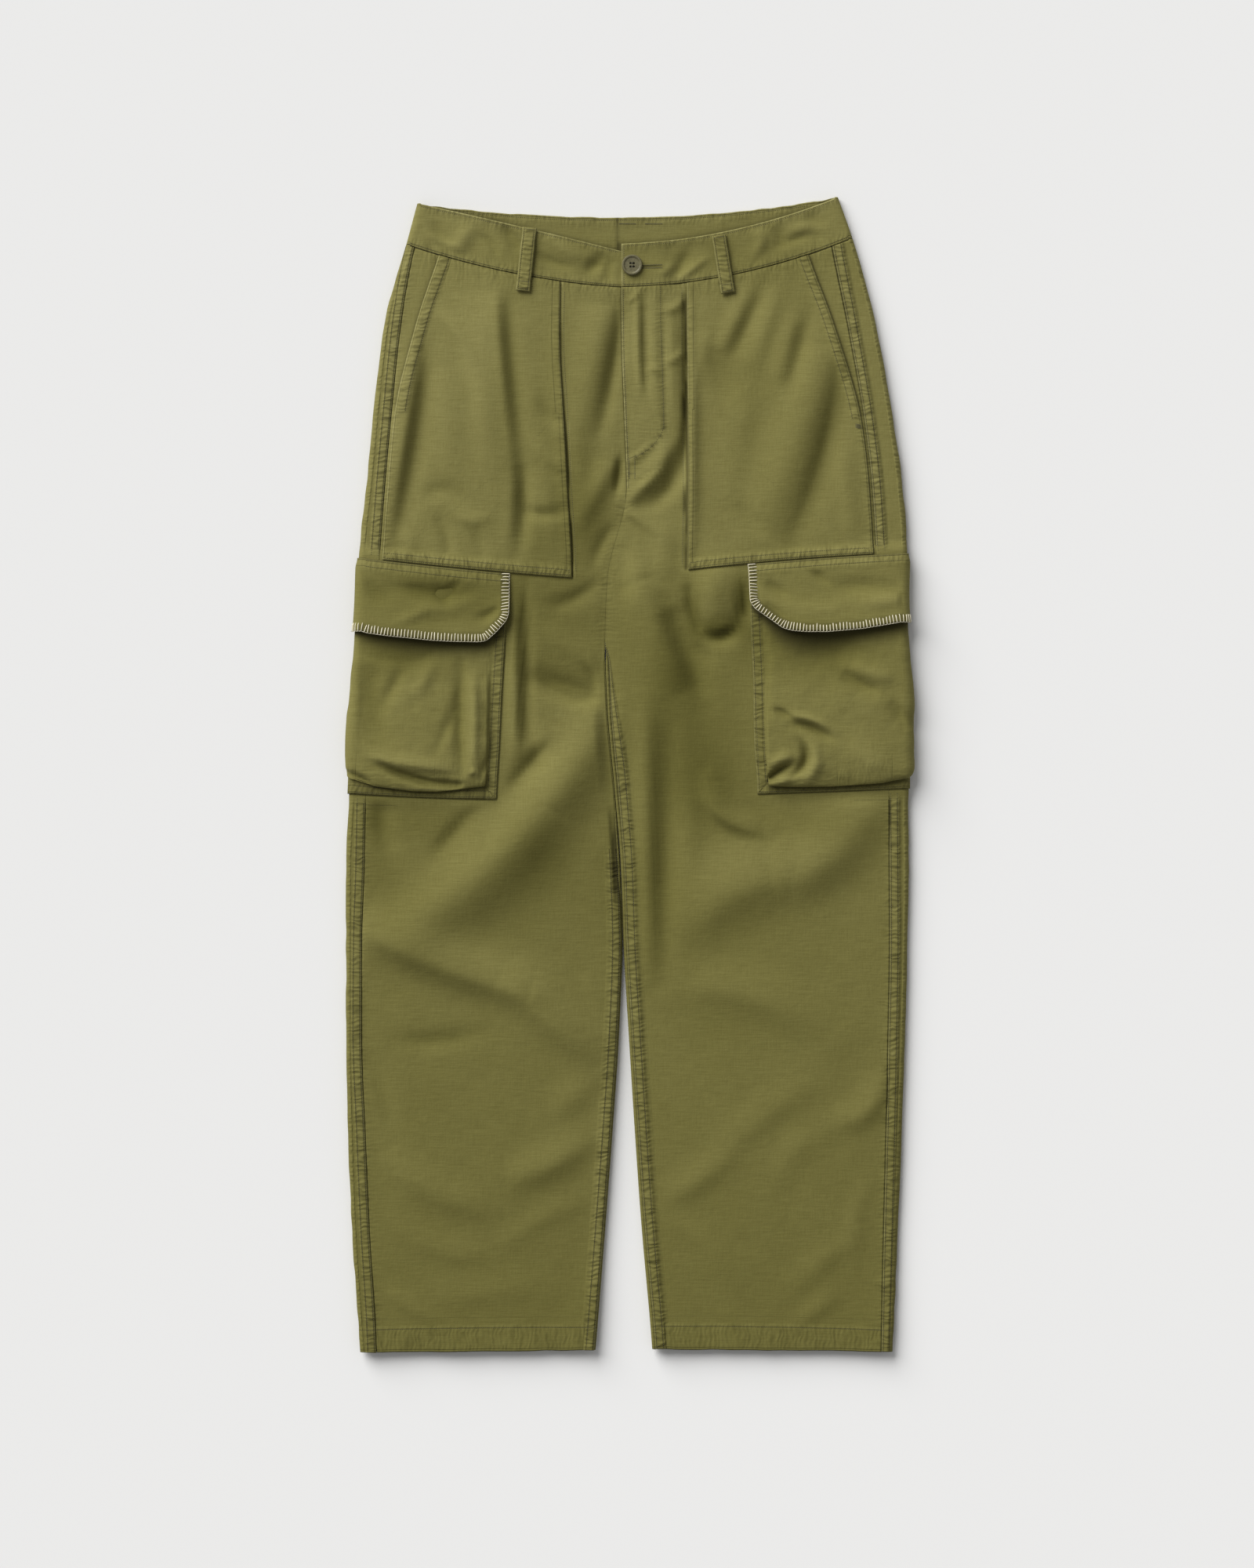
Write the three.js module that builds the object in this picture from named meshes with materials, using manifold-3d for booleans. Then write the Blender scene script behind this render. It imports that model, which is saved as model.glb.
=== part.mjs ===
// Cargo trousers, laid flat on a table with the front up.
// Millimetres. +X is to the right as seen from above, +Y runs to the waist, +Z is up off the table,
// and the origin lies on the table under the middle of the garment.
// "right" and "left" are the wearer's sides: the right leg lies at -X and the left leg at +X.
import * as THREE from "three";
import { mergeVertices } from "three/addons/utils/BufferGeometryUtils.js";
import Module from "manifold-3d";

// Cloth and construction sizes
const CLOTH = 1.2; // one layer of washed cotton canvas, with its loft
const GAP = 0.3; // between pieces that are sewn or lie together
const LAYER = CLOTH + GAP;
const SEAM_RAISE = 0.6; // a flat-felled seam holds two more layers
const SEAM_WIDTH = 9;
const BAND_RAISE = 0.5; // the waistband is two layers
const FLY_RAISE = 0.7;
const HEM_RAISE = 0.4;
const HEM_DEPTH = 20;
const STATION = 32; // longest step between two rows along the garment
const OVERLAP = 31; // the right waistband runs this far on below the left one
const OVERLAP_RISE = 2; // and lifts it by this

// The garment is read off in cross-sections from the waistband's top edge to the hem.
// yCentre, yPocket, ySide and yBack say where the section's line crosses the centre front (or inseam),
// the inner edge of the front pocket, the side seam and the centre back. centre, pocket, opening, seam
// and edge are the x of those lines, of the slanted pocket mouth and of the outline. roll is the radius
// at the outline, zCentre the height at the centre front or inseam, and dome the swell between them.
const RIGHT_SECTIONS = [
  { at: "waist top", yCentre: 467.9, yPocket: 481.3, ySide: 508.4, yBack: 498.8, centre: -8.6, pocket: -62.6, opening: -160, seam: -179.6, edge: -190.6, back: -12.2, roll: 3.6, zCentre: 9, dome: 1.2 },
  { at: "waist seam", yCentre: 435.8, yPocket: 441, ySide: 471.4, yBack: 458.8, centre: -8.6, pocket: -62.6, opening: -171.1, seam: -192.8, edge: -200.5, back: -12.2, roll: 3.8, zCentre: 9, dome: 1.6 },
  { at: "hip", yCentre: 390.9, yPocket: 394.4, ySide: 401.4, yBack: 397.9, centre: -8.3, pocket: -63.3, opening: -192.1, seam: -205.1, edge: -220.5, back: -12.2, roll: 4.6, zCentre: 9, dome: 2.6 },
  { at: "pocket mouth end", yCentre: 320.9, yPocket: 322.3, ySide: 323, yBack: 320.9, centre: -5.9, pocket: -59.8, opening: -210.3, seam: -213.1, edge: -229.9, back: -11.5, roll: 5.2, zCentre: 9, dome: 3 },
  { at: "fly end", yCentre: 257.9, yPocket: 256.6, ySide: 260.1, yBack: 257.9, centre: -3.8, pocket: -56.3, opening: -216.3, seam: -218.8, edge: -235.9, back: -12.2, roll: 5.4, zCentre: 8.5, dome: 3 },
  { at: "patch hem", yCentre: 173.9, yPocket: 176, ySide: 192.1, yBack: 173.9, centre: -21.2, pocket: -52.5, opening: -221.5, seam: -224, edge: -242.6, back: -20.1, roll: 5.4, zCentre: 7, dome: 3 },
  { at: "crotch", yCentre: 122.8, yPocket: 119.4, ySide: 127.8, yBack: 122.8, centre: -23.1, pocket: -64.8, opening: -225, seam: -227.8, edge: -244.6, back: -23.1, roll: 5.4, zCentre: 6, dome: 3 },
  { at: "thigh", yCentre: 61.9, yPocket: 61.9, ySide: 61.9, yBack: 61.9, centre: -21.3, pocket: -73.1, opening: -227.1, seam: -230, edge: -248.2, back: -21.3, roll: 5.4, zCentre: 7.5, dome: 3 },
  { at: "pocket foot", yCentre: -20.6, yPocket: -22, ySide: -17.8, yBack: -20.6, centre: -14.7, pocket: -80.1, opening: -231.3, seam: -236.2, edge: -251.6, back: -14.7, roll: 5.2, zCentre: 8, dome: 3 },
  { at: "knee", yCentre: -85, yPocket: -85, ySide: -85, yBack: -85, centre: -9.9, pocket: -80.1, opening: -229.9, seam: -237.6, edge: -254.4, back: -9.9, roll: 4.8, zCentre: 8, dome: 3 },
  { at: "upper shin", yCentre: -148, yPocket: -148, ySide: -148, yBack: -148, centre: -7.9, pocket: -80.1, opening: -229.9, seam: -239.7, edge: -254.4, back: -7.9, roll: 4.5, zCentre: 8, dome: 3 },
  { at: "shin", yCentre: -232, yPocket: -232, ySide: -232, yBack: -232, centre: -10.1, pocket: -87.1, opening: -229.9, seam: -240.1, edge: -254.4, back: -10.1, roll: 4.5, zCentre: 8, dome: 3 },
  { at: "lower shin", yCentre: -316, yPocket: -316, ySide: -316, yBack: -316, centre: -15.7, pocket: -87.1, opening: -228.5, seam: -236.9, edge: -252.7, back: -15.7, roll: 4.5, zCentre: 8, dome: 2.5 },
  { at: "calf", yCentre: -400, yPocket: -400, ySide: -400, yBack: -400, centre: -22, pocket: -94.1, opening: -227.1, seam: -233.4, edge: -249.5, back: -22, roll: 4.2, zCentre: 8, dome: 2.5 },
  { at: "hem row", yCentre: -493.8, yPocket: -493.8, ySide: -495.9, yBack: -493.8, centre: -29.4, pocket: -97.6, opening: -221.5, seam: -227.5, edge: -242.9, back: -29.4, roll: 4, zCentre: 8, dome: 2 },
  { at: "hem", yCentre: -513.5, yPocket: -514.5, ySide: -515.9, yBack: -513.8, centre: -31.1, pocket: -97.6, opening: -221.5, seam: -226.8, edge: -241.5, back: -31.1, roll: 4, zCentre: 8, dome: 1.5 },
];
const LEFT_SECTIONS = [
  { at: "waist top", yCentre: 474.3, yPocket: 479.5, ySide: 512, yBack: 498.8, centre: -8, pocket: 50.8, opening: 150, seam: 174, edge: 185.4, back: -11.6, roll: 3.6, zCentre: 9, dome: 1.2 },
  { at: "waist seam", yCentre: 435.8, yPocket: 439.9, ySide: 472.4, yBack: 458.8, centre: -8, pocket: 50.8, opening: 159.2, seam: 180.2, edge: 198.4, back: -11.6, roll: 3.8, zCentre: 9, dome: 1.6 },
  { at: "hip", yCentre: 390.9, yPocket: 394.4, ySide: 401.4, yBack: 397.9, centre: -7.7, pocket: 50.8, opening: 182.3, seam: 194.2, edge: 219.4, back: -11.6, roll: 4.6, zCentre: 9, dome: 2.6 },
  { at: "pocket mouth end", yCentre: 320.9, yPocket: 322.3, ySide: 316, yBack: 320.9, centre: -5.3, pocket: 51.4, opening: 206.4, seam: 208.9, edge: 235.5, back: -10.9, roll: 5.2, zCentre: 9, dome: 3 },
  { at: "fly end", yCentre: 257.9, yPocket: 256.6, ySide: 257.9, yBack: 257.9, centre: -3.2, pocket: 52.1, opening: 213.2, seam: 215.6, edge: 243.2, back: -11.6, roll: 5.4, zCentre: 8.5, dome: 3 },
  { at: "patch hem", yCentre: 173.9, yPocket: 183, ySide: 197, yBack: 173.9, centre: -20.6, pocket: 51.4, opening: 216.9, seam: 219.4, edge: 247.1, back: -19.5, roll: 5.4, zCentre: 7, dome: 3 },
  { at: "crotch", yCentre: 122.8, yPocket: 127.8, ySide: 137, yBack: 122.8, centre: -22.5, pocket: 63.3, opening: 219, seam: 221.5, edge: 245.7, back: -22.5, roll: 5.4, zCentre: 6, dome: 3 },
  { at: "thigh", yCentre: 61.9, yPocket: 61.9, ySide: 64, yBack: 61.9, centre: -20.3, pocket: 70.3, opening: 222.2, seam: 225.7, edge: 248.9, back: -20.3, roll: 5.4, zCentre: 7.5, dome: 3 },
  { at: "pocket foot", yCentre: -20.6, yPocket: -18.5, ySide: -12.9, yBack: -20.6, centre: -12.6, pocket: 73.8, opening: 224.3, seam: 230.6, edge: 248.4, back: -12.6, roll: 5.2, zCentre: 8, dome: 3 },
  { at: "knee", yCentre: -85, yPocket: -85, ySide: -85, yBack: -85, centre: -8, pocket: 73.8, opening: 224.3, seam: 231.3, edge: 248.8, back: -8, roll: 4.8, zCentre: 8, dome: 3 },
  { at: "upper shin", yCentre: -148, yPocket: -148, ySide: -148, yBack: -148, centre: -5.9, pocket: 73.8, opening: 224.3, seam: 231.6, edge: 247.8, back: -5.9, roll: 4.5, zCentre: 8, dome: 3 },
  { at: "shin", yCentre: -232, yPocket: -232, ySide: -232, yBack: -232, centre: -1.8, pocket: 77.3, opening: 222.3, seam: 230.2, edge: 245.7, back: -1.8, roll: 4.5, zCentre: 8, dome: 3 },
  { at: "lower shin", yCentre: -316, yPocket: -316, ySide: -316, yBack: -316, centre: 3.5, pocket: 80.8, opening: 220.8, seam: 228.5, edge: 242.9, back: 3.5, roll: 4.5, zCentre: 8, dome: 2.5 },
  { at: "calf", yCentre: -400, yPocket: -400, ySide: -400, yBack: -400, centre: 9.4, pocket: 87.8, opening: 219.4, seam: 226.4, edge: 239.4, back: 9.4, roll: 4.2, zCentre: 8, dome: 2.5 },
  { at: "hem row", yCentre: -493.8, yPocket: -493.8, ySide: -497, yBack: -494.5, centre: 17.8, pocket: 91.3, opening: 217.3, seam: 224.3, edge: 235.2, back: 17.8, roll: 4, zCentre: 8, dome: 2 },
  { at: "hem", yCentre: -512.6, yPocket: -513.4, ySide: -514.9, yBack: -512.8, centre: 19.2, pocket: 91.3, opening: 217.3, seam: 224, edge: 234.1, back: 19.2, roll: 4, zCentre: 8, dome: 1.5 },
];

// Large soft folds of the front: a line from (x0, y0) to (x1, y1) that bows sideways by bow, with a
// half width and a height. A positive height is a ridge and a negative one a trough.
const FOLDS = [
  { at: "right thigh to knee ridge", x0: -222, y0: -146, x1: -34, y1: 60, bow: 14, width: 24, height: 3.4 },
  { at: "right thigh trough", x0: -180, y0: -140, x1: -30, y1: 0, bow: 10, width: 20, height: -2.6 },
  { at: "right knee ridge", x0: -222, y0: -150, x1: -60, y1: -232, bow: -16, width: 18, height: 2.6 },
  { at: "right knee trough", x0: -205, y0: -182, x1: -70, y1: -248, bow: -12, width: 18, height: -2.2 },
  { at: "right shin fold", x0: -110, y0: -376, x1: -38, y1: -330, bow: 4, width: 16, height: -1.8 },
  { at: "right shin fold low", x0: -196, y0: -366, x1: -128, y1: -402, bow: -6, width: 16, height: -1.4 },
  { at: "right pocket side ridge", x0: -100, y0: 168, x1: -102, y1: 40, bow: 2, width: 9, height: 2.4 },
  { at: "left swag", x0: 50, y0: 172, x1: 98, y1: 168, bow: -26, width: 15, height: 3 },
  { at: "left thigh trough", x0: 24, y0: 112, x1: 66, y1: 62, bow: 4, width: 17, height: -3 },
  { at: "left thigh ridge", x0: 52, y0: 122, x1: 86, y1: 70, bow: 4, width: 14, height: 1.8 },
  { at: "left inseam trough", x0: 14, y0: 150, x1: 26, y1: -330, bow: 3, width: 15, height: -2 },
  { at: "left knee ridge", x0: 46, y0: -98, x1: 208, y1: -30, bow: -12, width: 20, height: 3 },
  { at: "left knee trough", x0: 44, y0: -128, x1: 206, y1: -52, bow: -14, width: 17, height: -2.8 },
  { at: "left knee hook", x0: 80, y0: -14, x1: 124, y1: -54, bow: -12, width: 12, height: -1.8 },
  { at: "left shin fold", x0: 60, y0: -382, x1: 112, y1: -356, bow: 0, width: 15, height: -1.6 },
  { at: "left calf fold", x0: 168, y0: -318, x1: 224, y1: -276, bow: 0, width: 15, height: -1.5 },
  { at: "right patch trough", x0: -112, y0: 414, x1: -104, y1: 204, bow: 4, width: 11, height: -2.6 },
  { at: "right patch ridge", x0: -128, y0: 400, x1: -122, y1: 210, bow: 4, width: 12, height: 1.6 },
  { at: "right patch side trough", x0: -184, y0: 366, x1: -208, y1: 214, bow: 6, width: 12, height: -2.2 },
  { at: "right fly trough", x0: -14, y0: 412, x1: -38, y1: 300, bow: -4, width: 12, height: -2 },
  { at: "right crotch trough", x0: -20, y0: 262, x1: -48, y1: 204, bow: -4, width: 11, height: -2.2 },
  { at: "left fly trough", x0: 40, y0: 372, x1: 26, y1: 262, bow: 6, width: 10, height: -2.2 },
  { at: "crotch ridge", x0: 2, y0: 236, x1: 8, y1: 128, bow: -6, width: 14, height: 2.4 },
  { at: "left patch trough", x0: 120, y0: 430, x1: 80, y1: 372, bow: 4, width: 10, height: -2.6 },
  { at: "left patch ridge", x0: 146, y0: 420, x1: 100, y1: 300, bow: 6, width: 17, height: 2 },
  { at: "left patch side trough", x0: 178, y0: 378, x1: 158, y1: 250, bow: 6, width: 13, height: -2 },
];

// Cargo pockets: the inner edge's x at the flap and at the foot, the flap's corner cut, and how far
// the pocket reaches round the side seam onto the back, from the outline.
const CARGO = {
  right: { innerTop: -109.2, innerFoot: -119.4, cut: 18, cutFrom: 0.62, back: 103 },
  left: { innerTop: 105.4, innerFoot: 113.2, cut: 44, cutFrom: 0.36, back: 103 },
  strip: 9, // sewn-down border of the bellows
  puff: 7, // how far the filled face stands off the leg
  mouth: 26, // from the flap's seam down to the open mouth
};
const BACK_RAMP = 15; // where the back panel comes down beside the pocket
const ROW_RAMP = 13;

const BELT_LOOPS = [
  { name: "belt_loop_front_right", side: "right", xTop: -90, yTop: 489.5, xFoot: -96.3, yFoot: 432.5 },
  { name: "belt_loop_front_left", side: "left", xTop: 78.8, yTop: 482.4, xFoot: 87, yFoot: 431 },
];
const LOOP = { width: 12.4, thick: 2, clear: 5.2 };

const BUTTON = { x: 1.4, y: 455, radius: 9.2, thick: 3.2, rim: 1.6, dish: 0.9, hole: 1, spread: 2.1, segments: 32 };

const OLIVE = new THREE.MeshStandardMaterial({ color: 0x7a7443, roughness: 0.92, metalness: 0 });
const BUTTON_BROWN = new THREE.MeshStandardMaterial({ color: 0x5d563c, roughness: 0.5, metalness: 0 });

const lerp = (a, b, t) => a + (b - a) * t;
const clamp = (value, low, high) => Math.min(high, Math.max(low, value));
const smooth = (from, to, value) => {
  const t = clamp((value - from) / (to - from), 0, 1);
  return t * t * (3 - 2 * t);
};

// Monotone cubic interpolation, so that no outline swings past its measured sections.
function monotone(xs, ys) {
  const slopes = xs.slice(1).map((x, i) => (ys[i + 1] - ys[i]) / (x - xs[i]));
  const tangents = xs.map((_, i) => {
    if (i === 0) return slopes[0];
    if (i === xs.length - 1) return slopes[i - 1];
    const [a, b] = [slopes[i - 1], slopes[i]];
    return a * b <= 0 ? 0 : (2 * a * b) / (a + b);
  });
  return (x) => {
    let i = xs.findIndex((value) => value > x) - 1;
    if (i < 0) i = x < xs[0] ? 0 : xs.length - 2;
    const h = xs[i + 1] - xs[i];
    const t = clamp((x - xs[i]) / h, 0, 1);
    const [t2, t3] = [t * t, t * t * t];
    return (2 * t3 - 3 * t2 + 1) * ys[i] + (t3 - 2 * t2 + t) * h * tangents[i]
      + (3 * t2 - 2 * t3) * ys[i + 1] + (t3 - t2) * h * tangents[i + 1];
  };
}

// A curve y(x) through three points.
function throughThree(x, [x0, y0], [x1, y1], [x2, y2]) {
  return (y0 * (x - x1) * (x - x2)) / ((x0 - x1) * (x0 - x2))
    + (y1 * (x - x0) * (x - x2)) / ((x1 - x0) * (x1 - x2))
    + (y2 * (x - x0) * (x - x1)) / ((x2 - x0) * (x2 - x1));
}

// One side of the garment. s counts down the centre front from the waist, so s = -yCentre.
function makeSide(name, sign, sections) {
  const s = sections.map((row) => -row.yCentre);
  const columns = Object.keys(sections[0]).filter((key) => key !== "at");
  const curves = Object.fromEntries(
    columns.map((key) => [key, monotone(s, sections.map((row) => row[key]))]),
  );
  const levels = Object.fromEntries(sections.map((row, i) => [row.at, s[i]]));
  const at = (value) => Object.fromEntries(columns.map((key) => [key, curves[key](value)]));
  return { name, sign, levels, at, cargo: CARGO[name] };
}
const SIDES = { right: makeSide("right", -1, RIGHT_SECTIONS), left: makeSide("left", 1, LEFT_SECTIONS) };

// 0 above the crotch, where the two sides share one hollow, and 1 where each leg is a tube of its own.
const legShare = (side, s) => smooth(side.levels.crotch - 8, side.levels.crotch + 26, s);
// Distance from the inner outline to the inseam, on top of the leg.
const inseamInset = (side, s) => legShare(side, s) * (side.name === "left" ? 3 : 1.1);

function frontLine(section, x) {
  const points = [[section.seam, section.ySide], [section.pocket, section.yPocket], [section.centre, section.yCentre]];
  return throughThree(x, ...points);
}

function backLine(section, x) {
  const yEdge = frontLine(section, section.edge);
  const t = clamp((x - section.edge) / (section.back - section.edge), 0, 1);
  return lerp(yEdge, section.yBack, 1 - (1 - t) ** 2);
}

// Layers of pocket that lie between the back panel and the table.
function layersUnder(side, s) {
  const { "patch hem": top, crotch: flap, "pocket foot": foot } = side.levels;
  const both = smooth(top - ROW_RAMP - 2, top - 2, s) * (1 - smooth(flap + 2, flap + 2 + ROW_RAMP, s));
  const bag = smooth(top - ROW_RAMP - 2, top - 2, s) * (1 - smooth(foot + 1, foot + 1 + ROW_RAMP, s));
  return { flap: both, bag };
}
function floorAt(side, s, fromEdge) {
  const { flap, bag } = layersUnder(side, s);
  const across = 1 - smooth(side.cargo.back + 3, side.cargo.back + 3 + BACK_RAMP, fromEdge);
  return LAYER * (flap + bag) * across;
}

// The corners of the hems lift a little off the table.
function hemLift(side, s, x, section) {
  const down = smooth(side.levels.hem - 110, side.levels.hem, s);
  const middle = (section.edge + section.centre) / 2;
  const out = Math.abs(x - middle) / Math.abs(section.edge - middle);
  return 2.4 * down * smooth(0.55, 1, out);
}

function foldHeight(x, y) {
  const steps = 8;
  return FOLDS.reduce((sum, fold) => {
    const reach = 3 * fold.width + Math.abs(fold.bow);
    const [lowX, highX] = [Math.min(fold.x0, fold.x1) - reach, Math.max(fold.x0, fold.x1) + reach];
    const [lowY, highY] = [Math.min(fold.y0, fold.y1) - reach, Math.max(fold.y0, fold.y1) + reach];
    if (x < lowX || x > highX || y < lowY || y > highY) return sum;
    const [dx, dy] = [fold.x1 - fold.x0, fold.y1 - fold.y0];
    const length = Math.hypot(dx, dy);
    const [nx, ny] = [-dy / length, dx / length];
    let [nearest, along] = [Infinity, 0];
    for (let i = 0; i < steps; i++) {
      const point = (t) => {
        const bow = fold.bow * 4 * t * (1 - t);
        return [fold.x0 + dx * t + nx * bow, fold.y0 + dy * t + ny * bow];
      };
      const [a, b] = [point(i / steps), point((i + 1) / steps)];
      const [ex, ey] = [b[0] - a[0], b[1] - a[1]];
      const t = clamp(((x - a[0]) * ex + (y - a[1]) * ey) / (ex * ex + ey * ey), 0, 1);
      const distance = Math.hypot(x - a[0] - ex * t, y - a[1] - ey * t);
      if (distance < nearest) [nearest, along] = [distance, (i + t) / steps];
    }
    const ends = Math.sin(Math.PI * clamp(lerp(0.06, 0.94, along), 0, 1)) ** 0.7;
    return sum + fold.height * ends * Math.exp(-((nearest / fold.width) ** 2));
  }, 0);
}

// 1 where a cargo pocket lies on the leg and 0 away from it: the folds die out under it.
function underCargo(side, s, x) {
  const { "patch hem": top, "pocket foot": foot } = side.levels;
  const past = side.sign * (cargoEdge(side, s) - x);
  return smooth(top - 22, top - 4, s) * (1 - smooth(foot + 4, foot + 26, s)) * (1 - smooth(2, 22, past));
}

// The left front end of the waist lies over the right one.
function overlapRise(side, s, x) {
  if (side.name === "right") return 0;
  const { "waist seam": seam } = side.levels;
  const reach = SIDES.right.at(s).centre + OVERLAP;
  return OVERLAP_RISE * (1 - smooth(reach + 1, reach + 18, x)) * (1 - smooth(seam + 2, seam + 42, s));
}

// Height of the front's outer face above the table.
function frontHeight(side, s, x, folded = 1) {
  const section = side.at(s);
  const inner = section.zCentre / 2;
  const width = Math.abs(section.centre - section.edge);
  const fromEdge = Math.abs(x - section.edge);
  const fromCentre = Math.abs(x - section.centre);
  const t = clamp((fromEdge - section.roll) / (width - section.roll - inner), 0, 1);
  const edgeTop = floorAt(side, s, 0) + 2 * section.roll;
  const level = lerp(edgeTop, section.zCentre, t) + section.dome * Math.sin(Math.PI * t) ** 0.8;
  const outerDrop = roundOff(section.roll, fromEdge);
  const innerDrop = legShare(side, s) * roundOff(inner, fromCentre);
  const fade = smooth(4, 26, fromEdge) * lerp(1, smooth(1, 16, fromCentre), legShare(side, s));
  const y = frontLine(section, x);
  const lift = hemLift(side, s, x, section);
  const folds = folded * fade * (1 - underCargo(side, s, x)) * smooth(474, 440, y) * foldHeight(x, y);
  return level - outerDrop - innerDrop + lift + folds + overlapRise(side, s, x);
}
function roundOff(radius, distance) {
  return distance >= radius ? 0 : radius - Math.sqrt(Math.max(0, radius ** 2 - (radius - distance) ** 2));
}
function frontPoint(side, s, x, raise = 0, folded = 1) {
  return new THREE.Vector3(x, frontLine(side.at(s), x), frontHeight(side, s, x, folded) + raise);
}

// A point round the outline, from the top (angle 0) over the outermost point (90) to the back (180).
function edgePoint(side, s, angle, raise = 0) {
  const section = side.at(s);
  const radians = THREE.MathUtils.degToRad(angle);
  const x = section.edge - side.sign * (section.roll - (section.roll + raise) * Math.sin(radians));
  const lift = hemLift(side, s, section.edge, section);
  const z = floorAt(side, s, 0) + section.roll + (section.roll + raise) * Math.cos(radians) + lift;
  return new THREE.Vector3(x, frontLine(section, section.edge), z);
}
function backPoint(side, s, x, raise = 0) {
  const section = side.at(s);
  const z = floorAt(side, s, Math.abs(x - section.edge)) + hemLift(side, s, x, section);
  return new THREE.Vector3(x, backLine(section, x), z - raise);
}
const EDGE_ANGLES = [0, 45, 90, 135, 180];

// A closed wall from a grid of outer points: the inner points lie one thickness behind them.
// under, where it is given, is the grid of inner points.
function wall(name, grid, { thickness = CLOTH, under, material = OLIVE } = {}) {
  const [rows, cols] = [grid.length, grid[0].length];
  const behind = under ?? offsetGrid(grid, -thickness);
  const vertices = [...grid.flat(), ...behind.flat()];
  const outer = (r, c) => r * cols + c;
  const inner = (r, c) => rows * cols + r * cols + c;
  const faces = [];
  const quad = (a, b, c, d) => faces.push(a, b, c, a, c, d);
  for (let r = 0; r + 1 < rows; r++) {
    for (let c = 0; c + 1 < cols; c++) {
      quad(outer(r, c), outer(r + 1, c), outer(r + 1, c + 1), outer(r, c + 1));
      quad(inner(r, c), inner(r, c + 1), inner(r + 1, c + 1), inner(r + 1, c));
    }
  }
  for (let c = 0; c + 1 < cols; c++) {
    quad(outer(0, c), outer(0, c + 1), inner(0, c + 1), inner(0, c));
    quad(outer(rows - 1, c + 1), outer(rows - 1, c), inner(rows - 1, c), inner(rows - 1, c + 1));
  }
  for (let r = 0; r + 1 < rows; r++) {
    quad(outer(r + 1, 0), outer(r, 0), inner(r, 0), inner(r + 1, 0));
    quad(outer(r, cols - 1), outer(r + 1, cols - 1), inner(r + 1, cols - 1), inner(r, cols - 1));
  }
  const geometry = new THREE.BufferGeometry().setFromPoints(vertices);
  geometry.setIndex(signedVolume(vertices, faces) < 0 ? faces.reverse() : faces);
  geometry.computeVertexNormals();
  const mesh = new THREE.Mesh(geometry, material);
  mesh.name = name;
  return mesh;
}

function signedVolume(vertices, faces) {
  let volume = 0;
  for (let i = 0; i < faces.length; i += 3) {
    const [a, b, c] = [vertices[faces[i]], vertices[faces[i + 1]], vertices[faces[i + 2]]];
    volume += a.dot(new THREE.Vector3().crossVectors(b, c)) / 6;
  }
  return volume;
}

// Moves each point of a grid along the average normal of the cells round it.
function offsetGrid(grid, distance) {
  const facing = gridNormals(grid);
  return grid.map((row, r) => row.map((point, c) => point.clone().addScaledVector(facing[r][c], distance)));
}
function gridNormals(grid) {
  const [rows, cols] = [grid.length, grid[0].length];
  const normals = grid.map((row) => row.map(() => new THREE.Vector3()));
  for (let r = 0; r + 1 < rows; r++) {
    for (let c = 0; c + 1 < cols; c++) {
      const across = new THREE.Vector3().subVectors(grid[r + 1][c + 1], grid[r][c]);
      const other = new THREE.Vector3().subVectors(grid[r + 1][c], grid[r][c + 1]);
      const normal = new THREE.Vector3().crossVectors(other, across).normalize();
      [[r, c], [r + 1, c], [r, c + 1], [r + 1, c + 1]].forEach(([i, j]) => normals[i][j].add(normal));
    }
  }
  // The first cell tells which way is out: every grid starts on the front, whose outer face looks up.
  const flip = normals[0][0].z < 0 ? -1 : 1;
  return normals.map((row) => row.map((normal) => normal.normalize().multiplyScalar(flip)));
}

// Rows along the garment between two levels: every named level and ramp, and even steps between them.
function stations(side, from, to) {
  const { "patch hem": top, crotch, "pocket foot": foot, hem } = side.levels;
  const fixed = [
    ...Object.values(side.levels), top - ROW_RAMP - 2, top - 2, crotch - 8, crotch + 2, crotch + 9, crotch + 15,
    crotch + 26, foot + 1, foot + 1 + ROW_RAMP, hem - HEM_DEPTH - 0.8,
  ];
  const kept = [from, ...fixed.filter((s) => s > from + 1.5 && s < to - 1.5), to].sort((a, b) => a - b);
  const close = kept.filter((s, i) => i === 0 || s - kept[i - 1] > 0.5);
  return close.flatMap((s, i) => {
    if (i === 0) return [s];
    const before = close[i - 1];
    const steps = Math.ceil((s - before) / STATION);
    return Array.from({ length: steps }, (_, k) => lerp(before, s, (k + 1) / steps));
  });
}

// x of the lines that run down the front panel: side seam, pocket mouth, pocket edge, inseam band, inseam.
const MOUTH_TO_CARGO = 4;
const CARGO_TO_POCKET = 2;
const POCKET_TO_BAND = 4;
function cargoEdge(side, s) {
  const { "patch hem": top, "pocket foot": foot } = side.levels;
  return lerp(side.cargo.innerTop, side.cargo.innerFoot, clamp((s - top) / (foot - top), 0, 1));
}
function frontLines(side, s) {
  const section = side.at(s);
  const toCentre = -side.sign;
  const inseam = section.centre - toCentre * (inseamInset(side, s) + GAP / 2);
  const band = inseam - toCentre * SEAM_WIDTH;
  const steps = (from, to, count) => Array.from({ length: count }, (_, i) => lerp(from, to, (i + 1) / count));
  const cargo = cargoEdge(side, s) + toCentre;
  return [
    section.seam + toCentre * (GAP / 2), section.opening, ...steps(section.opening, cargo, MOUTH_TO_CARGO),
    ...steps(cargo, section.pocket, CARGO_TO_POCKET), ...steps(section.pocket, band - toCentre * 0.8, POCKET_TO_BAND),
    band, inseam,
  ];
}
const OPENING_COLUMN = 1;
const POCKET_COLUMN = OPENING_COLUMN + MOUTH_TO_CARGO + CARGO_TO_POCKET;

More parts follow.
